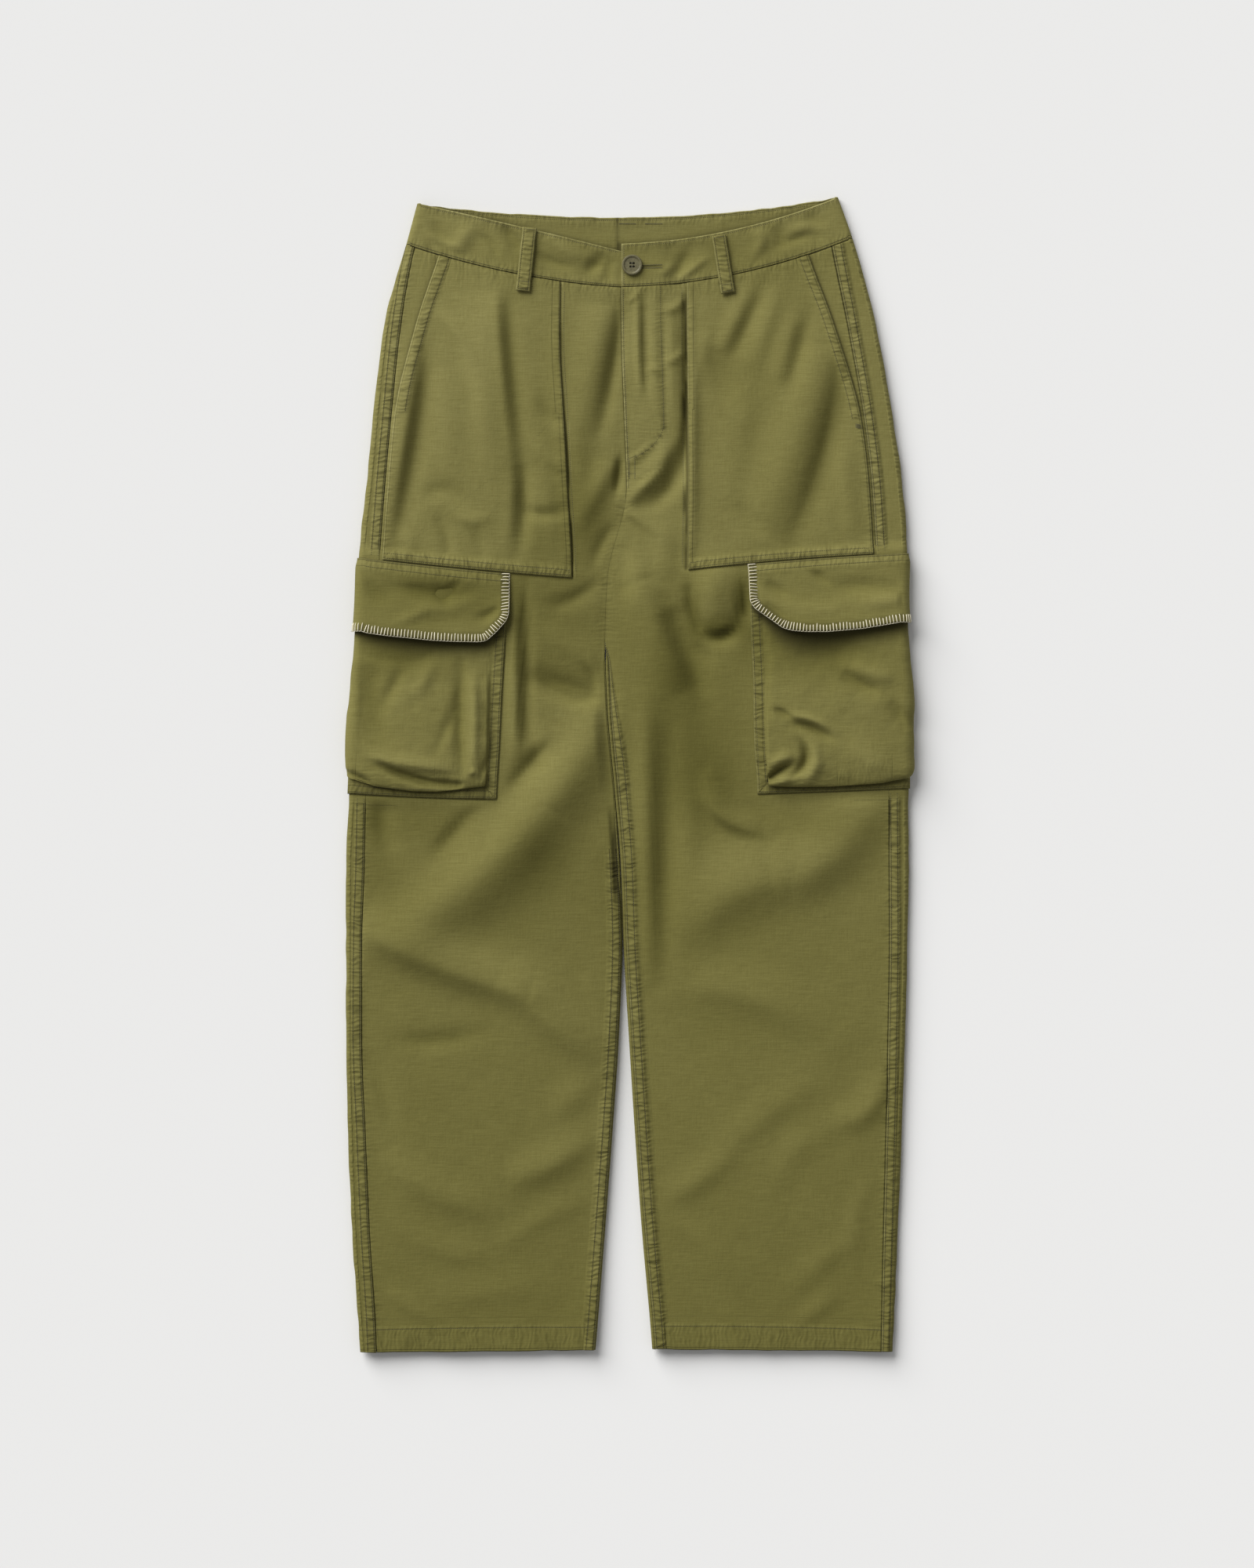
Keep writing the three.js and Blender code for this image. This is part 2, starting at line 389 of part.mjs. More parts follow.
function frontPanelGrid(side, rows) {
  return rows.map((s) => {
    const lines = frontLines(side, s);
    const hem = HEM_RAISE * smooth(side.levels.hem - HEM_DEPTH - 0.8, side.levels.hem - HEM_DEPTH, s);
    const fly = side.name === "left" ? FLY_RAISE * (1 - smooth(-235, -225, s)) : 0;
    const seam = SEAM_RAISE * legShare(side, s);
    return lines.map((x, c) => {
      const onBand = c >= lines.length - 2;
      return frontPoint(side, s, x, hem + (onBand ? Math.max(seam, fly) : 0));
    });
  });
}

function frontPanel(side) {
  const rows = stations(side, side.levels["waist seam"] + GAP, side.levels.hem);
  const grid = frontPanelGrid(side, rows);
  const under = offsetGrid(grid, -CLOTH);
  under.forEach((row, r) => row.splice(-1, 1, grid[r].at(-1).clone().add(new THREE.Vector3(0, 0, -CLOTH))));
  return wall(`front_panel_${side.name}`, grid, { under });
}

// The back panel wraps round the outline to the side seam on the front, and along the leg round the
// inner edge to the inseam.
function backPanel(side) {
  const rows = stations(side, side.levels["waist seam"] + GAP, side.levels.hem);
  const toCentre = -side.sign;
  const ends = [];
  const grid = rows.map((s) => {
    const section = side.at(s);
    const share = legShare(side, s);
    const wrap = Math.abs(section.edge - section.seam) - section.roll;
    const ditch = section.seam - toCentre * (GAP / 2);
    const bandEdge = section.seam - toCentre * Math.min(SEAM_WIDTH, wrap - 0.9);
    const raise = SEAM_RAISE * (1 - layersUnder(side, s).bag);
    const points = [ditch, bandEdge].map((x) => frontPoint(side, s, x, raise, 0));
    points.push(...EDGE_ANGLES.map((angle) => edgePoint(side, s, angle)));
    const radius = Math.max(0.05, share * section.zCentre / 2);
    const backEnd = lerp(section.back, section.centre, share) - toCentre * (radius + GAP / 2);
    const flatEnd = backEnd - toCentre * 8 * (1 - share);
    const pocketLine = section.edge + toCentre * (side.cargo.back + 3);
    const rampLine = pocketLine + toCentre * BACK_RAMP;
    const flats = [lerp(section.edge, pocketLine, 0.5), pocketLine, rampLine, lerp(rampLine, flatEnd, 0.55)];
    points.push(...flats.map((x) => backPoint(side, s, x)));
    const inset = inseamInset(side, s) - GAP / 2;
    const reach = Math.PI - Math.asin(clamp((radius - Math.max(0.3, inset)) / radius, 0, 1));
    const turn = share * (Math.PI / 2 + (reach - Math.PI / 2));
    for (let i = 0; i <= 4; i++) {
      const angle = turn * (i / 4);
      const x = backEnd - toCentre * 8 * (1 - share) * (1 - i / 4) + toCentre * radius * Math.sin(angle);
      const point = backPoint(side, s, x);
      point.z += radius * (1 - Math.cos(angle));
      points.push(point);
    }
    // The end is mitred to stand upright beside the front panel's.
    const mitre = smooth(1.75, 2.2, turn);
    const inward = new THREE.Vector3(-toCentre * Math.sin(turn) * (1 - mitre), 0, lerp(Math.cos(turn), -1, mitre));
    ends.push(points.at(-1).clone().addScaledVector(inward, CLOTH));
    return points;
  });
  const under = offsetGrid(grid, -CLOTH);
  under.forEach((row, r) => row.splice(-1, 1, ends[r]));
  return wall(`back_panel_${side.name}`, grid, { under });
}

// The waistband: each half runs from the centre front round the side to the centre back.
function waistband(side) {
  const { "waist top": top, "waist seam": seam } = side.levels;
  const toCentre = -side.sign;
  const rows = [0, 0.5, 1].map((t) => lerp(top, seam, t));
  const grid = rows.map((s) => {
    const section = side.at(s);
    const end = section.centre - toCentre * (GAP / 2);
    const top = section.edge - side.sign * section.roll;
    const under = side.name === "right" ? [end + OVERLAP, end + OVERLAP / 2] : [];
    const over = side.name === "left" ? [end + OVERLAP, end + OVERLAP + 9, end + OVERLAP + 18] : [];
    const plain = side.name === "left" ? [0.6, 0.45, 0.3, 0.15] : [0.85, 0.7, 0.55, 0.4, 0.25, 0.12];
    const fronts = [...under, end, ...over, ...plain.map((t) => lerp(top, end, t))];
    const backs = [0.2, 0.4, 0.6, 0.8, 1].map((t) =>
      lerp(section.edge - side.sign * section.roll, section.back - toCentre * (GAP / 2), t));
    return [
      ...fronts.map((x) => frontPoint(side, s, x, BAND_RAISE, 0)),
      ...EDGE_ANGLES.map((angle) => edgePoint(side, s, angle, angle < 135 ? BAND_RAISE * (1 - angle / 135) : 0)),
      ...backs.map((x) => backPoint(side, s, x)),
    ];
  });
  return wall(`waistband_${side.name}`, grid, { thickness: CLOTH + BAND_RAISE });
}

// The front patch pocket is cut to the panel's own points, moved out.
function patchPocket(side) {
  const rows = stations(side, side.levels["waist seam"] + GAP, side.levels["patch hem"]);
  const panel = frontPanelGrid(side, rows).map((row) => row.slice(OPENING_COLUMN, POCKET_COLUMN + 1));
  const inner = panel.map((row) => row.map((point, c) => {
    const free = c === row.length - 1 ? 0.9 : 0;
    return point.clone().add(new THREE.Vector3(0, 0, GAP + free));
  }));
  const outer = inner.map((row) => row.map((point) => point.clone().add(new THREE.Vector3(0, 0, CLOTH))));
  return wall(`patch_pocket_${side.name}`, outer, { under: inner });
}

// How far the cargo pocket's face stands off the leg, by the way down from its mouth (0) to its foot (1).
const puffAt = (down) => CARGO.puff * (0.2 + 0.8 * smooth(0, 0.55, down)) * lerp(1, 0.86, smooth(0.85, 1, down));
const EDGE_PUFF = [0.82, 0.76, 0.6, 0.3];

// The bellows pocket: a sewn border, a gusset that rises from it, a filled face and a bulging lip at
// the foot. Its face runs round the outline onto the back, where it lies flat under the leg.
function cargoPocket(side) {
  const { "patch hem": hem, crotch, "pocket foot": foot } = side.levels;
  const mouth = hem + CARGO.mouth;
  const toCentre = -side.sign;
  const length = foot - mouth;
  const flapEnd = crotch + 2;
  const rest = [0.3, 0.5, 0.7, 0.86, 1].map((t) => lerp(flapEnd + ROW_RAMP, foot - CARGO.strip - 4.5, t));
  const downTo = [mouth, mouth + 12, flapEnd, flapEnd + ROW_RAMP, ...rest];
  const face = downTo.map((s) => ({ s, puff: puffAt((s - mouth) / length) }));
  const gusset = [
    { s: foot - CARGO.strip - 1.6, puff: CARGO.puff * 0.72 }, { s: foot - CARGO.strip, puff: 0 },
    { s: foot, puff: 0 },
  ];
  const grid = [...face, ...gusset].map(({ s, puff }) => {
    const section = side.at(s);
    const inner = cargoEdge(side, s);
    const edgeTop = section.edge - side.sign * section.roll;
    const wallFoot = inner - toCentre * CARGO.strip;
    const wallTop = wallFoot - toCentre * 2.2;
    const along = (t) => lerp(wallTop, edgeTop, t);
    const on = (x, share) => frontPoint(side, s, x, LAYER + puff * share, 0);
    const points = [on(inner, 0), on(wallFoot, 0), on(wallTop, 0.85)];
    points.push(...[0.22, 0.48, 0.74].map((t) => on(along(t), t === 0.48 ? 1.12 : 1)));
    const underFlap = 1 - smooth(crotch + 2, crotch + 2 + ROW_RAMP, s);
    points.push(...EDGE_PUFF.map((share, i) => edgePoint(side, s, EDGE_ANGLES[i], LAYER + puff * share)));
    const backs = [section.roll, 52, side.cargo.back].map((d) => section.edge + toCentre * d);
    points.push(...backs.map((x) => {
      const point = backPoint(side, s, x, LAYER);
      point.z = Math.max(point.z, LAYER * underFlap);
      return point;
    }));
    return points;
  });
  return wall(`cargo_pocket_${side.name}`, grid);
}

// The flap is sewn in under the patch pocket's hem and lies over the mouth, with one corner cut off.
function cargoFlap(side) {
  const { "patch hem": hem, crotch } = side.levels;
  const toCentre = -side.sign;
  const from = hem + 2 * GAP;
  const to = crotch + 1;
  const downs = [0, 0.22, side.cargo.cutFrom, lerp(side.cargo.cutFrom, 1, 0.5), 1].sort((a, b) => a - b);
  const grid = downs.map((t) => {
    const s = lerp(from, to, t);
    const section = side.at(s);
    const cut = Math.max(0, (t - side.cargo.cutFrom) / (1 - side.cargo.cutFrom)) ** 1.3 * side.cargo.cut;
    const inner = side.cargo.innerTop + toCentre * 0.6 - toCentre * cut;
    const edgeTop = section.edge - side.sign * section.roll;
    const mouthDown = (s - hem - CARGO.mouth) / (side.levels["pocket foot"] - hem - CARGO.mouth);
    const bag = puffAt(clamp(mouthDown, 0, 1)) * 1.12;
    const over = smooth(0, 0.3, t);
    const stand = over * (bag + LAYER + 0.5);
    const shares = [0.8, 0.96, 1, 1.04, 1];
    const points = shares.map((share, i) =>
      frontPoint(side, s, lerp(inner, edgeTop, i / 5), LAYER + stand * share, 0));
    const rim = over * (LAYER + 0.4);
    points.push(...EDGE_PUFF.map((share, i) => edgePoint(side, s, EDGE_ANGLES[i], LAYER + over * bag * share + rim)));
    const backs = [section.roll, 52, side.cargo.back].map((d) => section.edge + toCentre * d);
    points.push(...backs.map((x) => {
      const point = backPoint(side, s, x, LAYER);
      point.z = 0;
      return point;
    }));
    return points;
  });
  return wall(`cargo_flap_${side.name}`, grid);
}

// The row of the garment on which a point of the front lies.
function rowAt(side, x, y) {
  let [low, high] = [side.levels["waist top"], side.levels.hem];
  for (let i = 0; i < 40; i++) {
    const middle = (low + high) / 2;
    if (frontLine(side.at(middle), x) > y) low = middle;
    else high = middle;
  }
  return (low + high) / 2;
}

function beltLoop({ name, side: sideName, xTop, yTop, xFoot, yFoot }) {
  const side = SIDES[sideName];
  const along = [0, 0.05, 0.1, 0.15, 0.5, 0.85, 0.9, 0.95, 1];
  const across = [-0.5, 0, 0.5];
  const [dx, dy] = [xFoot - xTop, yFoot - yTop];
  const length = Math.hypot(dx, dy);
  const grid = along.map((t) => {
    const [x, y] = [xTop + dx * t, yTop + dy * t];
    const s = rowAt(side, x, y);
    const onPocket = smooth(side.levels["waist seam"] - 7, side.levels["waist seam"] - 1, s);
    const resting = frontHeight(side, s, x, 0) + lerp(BAND_RAISE, LAYER, onPocket);
    const stand = LOOP.thick + lerp(GAP + 0.3, LOOP.clear, smooth(0.03, 0.15, Math.min(t, 1 - t)));
    return across.map((a) => new THREE.Vector3(
      x - (dy / length) * LOOP.width * a, y + (dx / length) * LOOP.width * a, resting + stand));
  });
  return wall(name, grid, { thickness: LOOP.thick });
}

// A four-hole button with a raised rim and a dished middle.
async function button() {
  const { radius, thick, rim, dish, hole, spread, segments } = BUTTON;
  const profile = [
    [0, 0], [radius - 1.2, 0], [radius, 1], [radius, thick - 0.9], [radius - 0.7, thick],
    [radius - rim, thick], [radius - rim - 1.2, thick - dish], [0, thick - dish],
  ].map(([x, y]) => new THREE.Vector2(x, y));
  const disc = new THREE.LatheGeometry(profile, segments).rotateX(Math.PI / 2);
  const wasm = await Module();
  wasm.setup();
  const solid = (geometry) => {
    geometry.deleteAttribute("normal");
    geometry.deleteAttribute("uv");
    const merged = mergeVertices(geometry, 1e-4);
    return new wasm.Manifold(new wasm.Mesh({
      numProp: 3,
      vertProperties: new Float32Array(merged.attributes.position.array),
      triVerts: new Uint32Array(merged.index.array),
    }));
  };
  const cut = [[1, 1], [1, -1], [-1, 1], [-1, -1]].reduce((body, [a, b]) => {
    const drill = new THREE.CylinderGeometry(hole, hole, 4 * thick, 10).rotateX(Math.PI / 2);
    return body.subtract(solid(drill.translate(a * spread / Math.SQRT2, b * spread / Math.SQRT2, 0)));
  }, solid(disc));
  const { vertProperties, triVerts } = cut.getMesh();
  const geometry = new THREE.BufferGeometry();
  geometry.setAttribute("position", new THREE.BufferAttribute(new Float32Array(vertProperties), 3));
  geometry.setIndex(new THREE.BufferAttribute(new Uint32Array(triVerts), 1));
  geometry.computeVertexNormals();
  const mesh = new THREE.Mesh(geometry, BUTTON_BROWN);
  mesh.name = "button";
  const side = SIDES.left;
  const resting = frontHeight(side, rowAt(side, BUTTON.x, BUTTON.y), BUTTON.x, 0) + BAND_RAISE;
  mesh.position.set(BUTTON.x, BUTTON.y, resting + GAP + 0.2);
  return mesh;
}

const trousers = new THREE.Group();
for (const side of Object.values(SIDES)) {
  trousers.add(backPanel(side), frontPanel(side), waistband(side), patchPocket(side));
  trousers.add(cargoPocket(side), cargoFlap(side));
}
trousers.add(...BELT_LOOPS.map(beltLoop));
trousers.add(await button());

export default trousers;
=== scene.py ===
import math

import bpy
import numpy as np
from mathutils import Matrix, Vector
from mathutils.bvhtree import BVHTree


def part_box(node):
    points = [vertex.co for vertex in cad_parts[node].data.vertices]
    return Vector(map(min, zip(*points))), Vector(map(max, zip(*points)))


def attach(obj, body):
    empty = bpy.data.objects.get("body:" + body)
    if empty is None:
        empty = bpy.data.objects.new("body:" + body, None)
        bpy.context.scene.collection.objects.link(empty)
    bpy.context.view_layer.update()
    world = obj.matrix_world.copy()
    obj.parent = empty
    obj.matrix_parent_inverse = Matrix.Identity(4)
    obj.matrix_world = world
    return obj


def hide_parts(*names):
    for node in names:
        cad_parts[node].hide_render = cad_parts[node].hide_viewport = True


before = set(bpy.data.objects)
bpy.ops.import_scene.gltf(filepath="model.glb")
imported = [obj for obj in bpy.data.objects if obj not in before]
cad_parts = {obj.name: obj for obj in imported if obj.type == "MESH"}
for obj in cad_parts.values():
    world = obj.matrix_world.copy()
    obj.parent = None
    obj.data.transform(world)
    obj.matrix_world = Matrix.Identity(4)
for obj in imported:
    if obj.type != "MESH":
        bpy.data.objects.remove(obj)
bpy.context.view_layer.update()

# Lengths below are in millimetres until a mesh is made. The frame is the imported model's: +X to the right,
# +Y to the waist, +Z up off the table. "right" and "left" are the wearer's sides.
MM = 0.001
CLOTH = 1.2  # one layer of canvas
GAP = 0.3  # between pieces that are sewn or lie together
LAYER = CLOTH + GAP
CLEAR = 0.05  # between walls that meet edge to edge
SEAM_WIDTH = 9.0  # a felled seam's band
BAND_RAISE = 0.5
BAND_HEIGHT = 40.0
FLY_RAISE = 0.8
FLY_WIDTH = 36.0
FLY_END = (-262, -250)  # s over which the fly ends
BELOW_BAND = (480, 436)  # y over which the folds start below the waistband
HEM_DEPTH = 20.0
OVERLAP = 31.0  # the right waistband under the left one
OVERLAP_RISE = 2.0
LOWEST_FRONT = 3.4  # least height of the front's outer face, above the back's two layers

# One pixel of the photograph, and the pixel at the frame's origin.
PIXEL = 0.7
ORIGIN = (804.5, 988.5)

# The cross-sections that the solids are made from. Columns: level, then y at the centre front, pocket edge,
# side seam and centre back, then x of the centre front, pocket edge, pocket mouth, side seam, outline and
# centre back, then the radius at the outline, the height at the centre and the swell between.
COLUMNS = ("y_centre", "y_pocket", "y_side", "y_back", "centre", "pocket", "opening", "seam", "edge", "back",
           "roll", "z_centre", "dome")
SECTIONS = {
    "right": [
        ("waist top", 467.9, 481.3, 508.4, 498.8, -8.6, -62.6, -160, -179.6, -190.6, -12.2, 3.6, 9, 1.2),
        ("waist seam", 435.8, 441, 471.4, 458.8, -8.6, -62.6, -171.1, -192.8, -200.5, -12.2, 3.8, 9, 1.6),
        ("hip", 390.9, 394.4, 401.4, 397.9, -8.3, -63.3, -192.1, -205.1, -220.5, -12.2, 4.6, 9, 2.6),
        ("mouth end", 320.9, 322.3, 323, 320.9, -5.9, -59.8, -210.3, -213.1, -229.9, -11.5, 5.2, 9, 3),
        ("fly end", 257.9, 256.6, 260.1, 257.9, -3.8, -56.3, -216.3, -218.8, -235.9, -12.2, 5.4, 8.5, 3),
        ("patch hem", 173.9, 176, 192.1, 173.9, -21.2, -52.5, -221.5, -224, -242.6, -20.1, 5.4, 7, 3),
        ("crotch", 122.8, 119.4, 127.8, 122.8, -23.1, -64.8, -225, -227.8, -244.6, -23.1, 5.4, 6, 3),
        ("thigh", 61.9, 61.9, 61.9, 61.9, -20.95, -73.1, -227.1, -230, -248.2, -21.3, 5.4, 7.5, 3),
        ("pocket foot", -20.6, -22, -17.8, -20.6, -13.8, -80.1, -231.3, -236.2, -251.6, -13.8, 5.2, 8, 3),
        ("knee", -85, -85, -85, -85, -9.1, -80.1, -229.9, -237.6, -254.4, -9.1, 4.8, 8, 3),
        ("upper shin", -148, -148, -148, -148, -7.1, -80.1, -229.9, -239.7, -254.4, -7.1, 4.5, 8, 3),
        ("shin", -232, -232, -232, -232, -10.1, -87.1, -229.9, -240.1, -254.4, -10.1, 4.5, 8, 3),
        ("lower shin", -316, -316, -316, -316, -15.7, -87.1, -228.5, -236.9, -252.7, -15.7, 4.5, 8, 2.5),
        ("calf", -400, -400, -400, -400, -22, -94.1, -227.1, -233.4, -249.5, -22, 4.2, 8, 2.5),
        ("hem row", -493.8, -493.8, -495.9, -493.8, -29.4, -97.6, -221.5, -227.5, -242.9, -29.4, 4, 8, 2),
        ("hem", -513.5, -514.5, -515.9, -513.8, -31.1, -97.6, -221.5, -226.8, -241.5, -31.1, 4, 8, 1.5),
    ],
    "left": [
        ("waist top", 474.3, 479.5, 512, 498.8, -8, 50.8, 150, 174, 185.4, -11.6, 3.6, 9, 1.2),
        ("waist seam", 435.8, 439.9, 472.4, 458.8, -8, 50.8, 159.2, 180.2, 198.4, -11.6, 3.8, 9, 1.6),
        ("hip", 390.9, 394.4, 401.4, 397.9, -7.7, 50.8, 182.3, 194.2, 219.4, -11.6, 4.6, 9, 2.6),
        ("mouth end", 320.9, 322.3, 316, 320.9, -5.3, 51.4, 206.4, 208.9, 235.5, -10.9, 5.2, 9, 3),
        ("fly end", 257.9, 256.6, 257.9, 257.9, -3.2, 52.1, 213.2, 215.6, 243.2, -11.6, 5.4, 8.5, 3),
        ("patch hem", 173.9, 183, 197, 173.9, -20.6, 51.4, 216.9, 219.4, 247.1, -19.5, 5.4, 7, 3),
        ("crotch", 122.8, 127.8, 137, 122.8, -22.5, 63.3, 219, 221.5, 245.7, -22.5, 5.4, 6, 3),
        ("thigh", 61.9, 61.9, 64, 61.9, -20.65, 70.3, 222.2, 225.7, 248.9, -20.65, 5.4, 7.5, 3),
        ("pocket foot", -20.6, -18.5, -12.9, -20.6, -13.5, 73.8, 224.3, 230.6, 248.4, -13.5, 5.2, 8, 3),
        ("knee", -85, -85, -85, -85, -8.8, 73.8, 224.3, 231.3, 248.8, -8.8, 4.8, 8, 3),
        ("upper shin", -148, -148, -148, -148, -6.7, 73.8, 224.3, 231.6, 247.8, -6.7, 4.5, 8, 3),
        ("shin", -232, -232, -232, -232, -1.8, 77.3, 222.3, 230.2, 245.7, -1.8, 4.5, 8, 3),
        ("lower shin", -316, -316, -316, -316, 3.5, 80.8, 220.8, 228.5, 242.9, 3.5, 4.5, 8, 2.5),
        ("calf", -400, -400, -400, -400, 9.4, 87.8, 219.4, 226.4, 239.4, 9.4, 4.2, 8, 2.5),
        ("hem row", -493.8, -493.8, -497, -494.5, 17.8, 91.3, 217.3, 224.3, 235.2, 17.8, 4, 8, 2),
        ("hem", -512.6, -513.4, -514.9, -512.8, 19.2, 91.3, 217.3, 224, 234.1, 19.2, 4, 8, 1.5),
    ],
}
CARGO = {
    "right": {"inner_top": -109.2, "inner_foot": -119.4},
    "left": {"inner_top": 105.4, "inner_foot": 113.2},
}
CARGO_BACK = 103.0  # how far the cargo pocket and its flap reach round to the back
STRIP = 9.5  # the cargo pocket's sewn border
BACK_RAMP = 15.0
ROW_RAMP = 13.0
SEAM_ROWS = (1.5, 7.6)  # stitch rows of a felled seam, from its ditch
FACING = {"right": 9.5, "left": 8.2}  # width of the hand pocket's turned mouth
POCKET_GROOVE = {"right": 1.6, "left": 3.0}
FLAP_LIFT = 5.4

# What the material's fields hold away from every seam, edge and row of stitches.
AWAY = 60.0
NO_ROW = 90.0
FAR = 4000.0


def px(x, y):
    """A point of the photograph's frame, in the row frame."""
    return np.array([(x - ORIGIN[0]) * PIXEL, (ORIGIN[1] - y) * PIXEL])


def path(*points):
    """Points of the photograph's frame, in the row frame."""
    return np.array([px(*p) for p in points])


def lerp(a, b, t):
    return a + (b - a) * t


def smooth(low, high, value):
    t = np.clip((value - low) / (high - low), 0, 1)
    return t * t * (3 - 2 * t)


def bump(distance, width):
    return np.exp(-(distance / width) ** 2)


def plateau(d, start, end, soft):
    return smooth(start - soft, start + soft, d) * (1 - smooth(end - soft, end + soft, d))


def noise1(t, seed):
    """Smooth noise from -1 to 1 along one number."""
    knots = np.random.RandomState(seed).uniform(-1, 1, 4096)
    i = np.floor(t).astype(int)
    f = t - i
    f = f * f * (3 - 2 * f)
    return lerp(knots[i % 4096], knots[(i + 1) % 4096], f)


def noise2(x, y, seed):
    """Smooth noise from -1 to 1 over a plane."""
    knots = np.random.RandomState(seed).uniform(-1, 1, (256, 256))
    i, j = np.floor(x).astype(int), np.floor(y).astype(int)
    fx, fy = x - i, y - j
    fx, fy = fx ** 3 * (fx * (6 * fx - 15) + 10), fy ** 3 * (fy * (6 * fy - 15) + 10)
    a = lerp(knots[i % 256, j % 256], knots[(i + 1) % 256, j % 256], fx)
    b = lerp(knots[i % 256, (j + 1) % 256], knots[(i + 1) % 256, (j + 1) % 256], fx)
    return lerp(a, b, fy)


def monotone(xs, ys):
    """Monotone cubic interpolation through a section table's column."""
    xs, ys = np.array(xs, float), np.array(ys, float)
    slopes = np.diff(ys) / np.diff(xs)
    tangents = np.empty(len(xs))
    tangents[0], tangents[-1] = slopes[0], slopes[-1]
    a, b = slopes[:-1], slopes[1:]
    tangents[1:-1] = np.where(a * b <= 0, 0, 2 * a * b / np.where(a + b == 0, 1, a + b))

    def curve(x):
        i = np.clip(np.searchsorted(xs, x, side="right") - 1, 0, len(xs) - 2)
        h = xs[i + 1] - xs[i]
        t = np.clip((x - xs[i]) / h, 0, 1)
        return ((2 * t ** 3 - 3 * t ** 2 + 1) * ys[i] + (t ** 3 - 2 * t ** 2 + t) * h * tangents[i]
                + (3 * t ** 2 - 2 * t ** 3) * ys[i + 1] + (t ** 3 - t ** 2) * h * tangents[i + 1])

    return curve


class Section:
    pass


class Side:
    """One side of the garment. s counts down the centre front from the waist, so s = -y_centre."""

    def __init__(self, name):
        self.name = name
        self.sign = -1 if name == "right" else 1
        self.to_centre = -self.sign  # the way along X from the outline to the middle
        rows = SECTIONS[name]
        s = [-row[1] for row in rows]
        self.level = {row[0]: -row[1] for row in rows}
        self.curves = {key: monotone(s, [row[i + 1] for row in rows]) for i, key in enumerate(COLUMNS)}

    def at(self, s):
        section = Section()
        for key, curve in self.curves.items():
            setattr(section, key, curve(s))
        # the sides touch along the middle down to the place where the legs part
        apart = smooth(20, 60, s)
        for key in ("centre", "back"):
            middle = (SIDES["right"].curves[key](s) + SIDES["left"].curves[key](s)) / 2 + 0.02 * self.sign
            setattr(section, key, lerp(middle, getattr(section, key), apart))
        return section

    def pick(self, right, left):
        return right if self.name == "right" else left

    def top_of_roll(self, section):
        """x where the front's face starts to round off towards the outline."""
        return section.edge - self.sign * section.roll

    def leg_rows(self, coarse):
        """Rows of a leg panel, close together at the seams across it."""
        level = self.level
        stops = [level["waist seam"] + GAP, level["patch hem"], level["pocket foot"], level["hem"] - HEM_DEPTH,
                 level["hem"]]
        return spread(stops, 1.0, coarse, 0.1)

    def share(self, s):
        """0 above the crotch and 1 where the leg is a tube of its own."""
        return smooth(self.level["crotch"] - 8, self.level["crotch"] + 26, s)

    def inset(self, s):
        return smooth(0.4, 1, self.share(s)) * self.pick(1.1, 3)

    def squareness(self, s):
        """How square the inner edge of the leg's tube is: it rounds off below the place where the legs part."""
        return lerp(5.0, 2.0, smooth(22, 75, s))

    def band_share(self, s):
        """0 where the inseam's band is turned under, easing to 1 where it shows in full."""
        return smooth(*self.pick((62, 80), (-134, 0)), s)

    def cargo_edge(self, s):
        top, foot = self.level["patch hem"], self.level["pocket foot"]
        t = np.clip((s - top) / (foot - top), 0, 1)
        return lerp(CARGO[self.name]["inner_top"], CARGO[self.name]["inner_foot"], t)

    def front_y(self, section, x):
        x0, y0, x1, y1 = section.seam, section.y_side, section.pocket, section.y_pocket
        x2, y2 = section.centre, section.y_centre
        return (y0 * (x - x1) * (x - x2) / ((x0 - x1) * (x0 - x2))
                + y1 * (x - x0) * (x - x2) / ((x1 - x0) * (x1 - x2))
                + y2 * (x - x0) * (x - x1) / ((x2 - x0) * (x2 - x1)))

    def back_y(self, section, x):
        y_edge = self.front_y(section, section.edge)
        t = np.clip((x - section.edge) / (section.back - section.edge), 0, 1)
        return lerp(y_edge, section.y_back, 1 - (1 - t) ** 2)

    def row_at(self, x, y):
        """s of the row on which a point of the front lies."""
        x, y = np.asarray(x, float), np.asarray(y, float)
        low = np.full(x.shape, self.level["waist top"] - 12.0)
        high = np.full(x.shape, self.level["hem"] + 4.0)
        for _ in range(32):
            middle = (low + high) / 2
            above = self.front_y(self.at(middle), x) > y
            low, high = np.where(above, middle, low), np.where(above, high, middle)
        return (low + high) / 2

    def layers_under(self, s):
        top, flap, foot = (self.level[key] for key in ("patch hem", "crotch", "pocket foot"))
        start = smooth(top - ROW_RAMP - 2, top - 2, s)
        return start * (1 - smooth(flap + 2, flap + 2 + ROW_RAMP, s)), start * (1 - smooth(foot + 1, foot + 1
                                                                                           + ROW_RAMP, s))

    def floor(self, s, from_edge):
        flap, bag = self.layers_under(s)
        return LAYER * (flap + bag) * (1 - smooth(CARGO_BACK + 3, CARGO_BACK + 3 + BACK_RAMP, from_edge))

    def lift(self, s, x, section):
        down = smooth(self.level["hem"] - 110, self.level["hem"], s)
        middle = (section.edge + section.centre) / 2
        out = np.abs(x - middle) / np.abs(section.edge - middle)
        return 2.4 * down * smooth(0.55, 1, out)

    def under_cargo(self, s, x):
        top, foot = self.level["patch hem"], self.level["pocket foot"]
        past = self.sign * (self.cargo_edge(s) - x)
        return smooth(top - 12, top - 2, s) * (1 - smooth(foot + 1, foot + 14, s)) * (1 - smooth(1, 9, past))

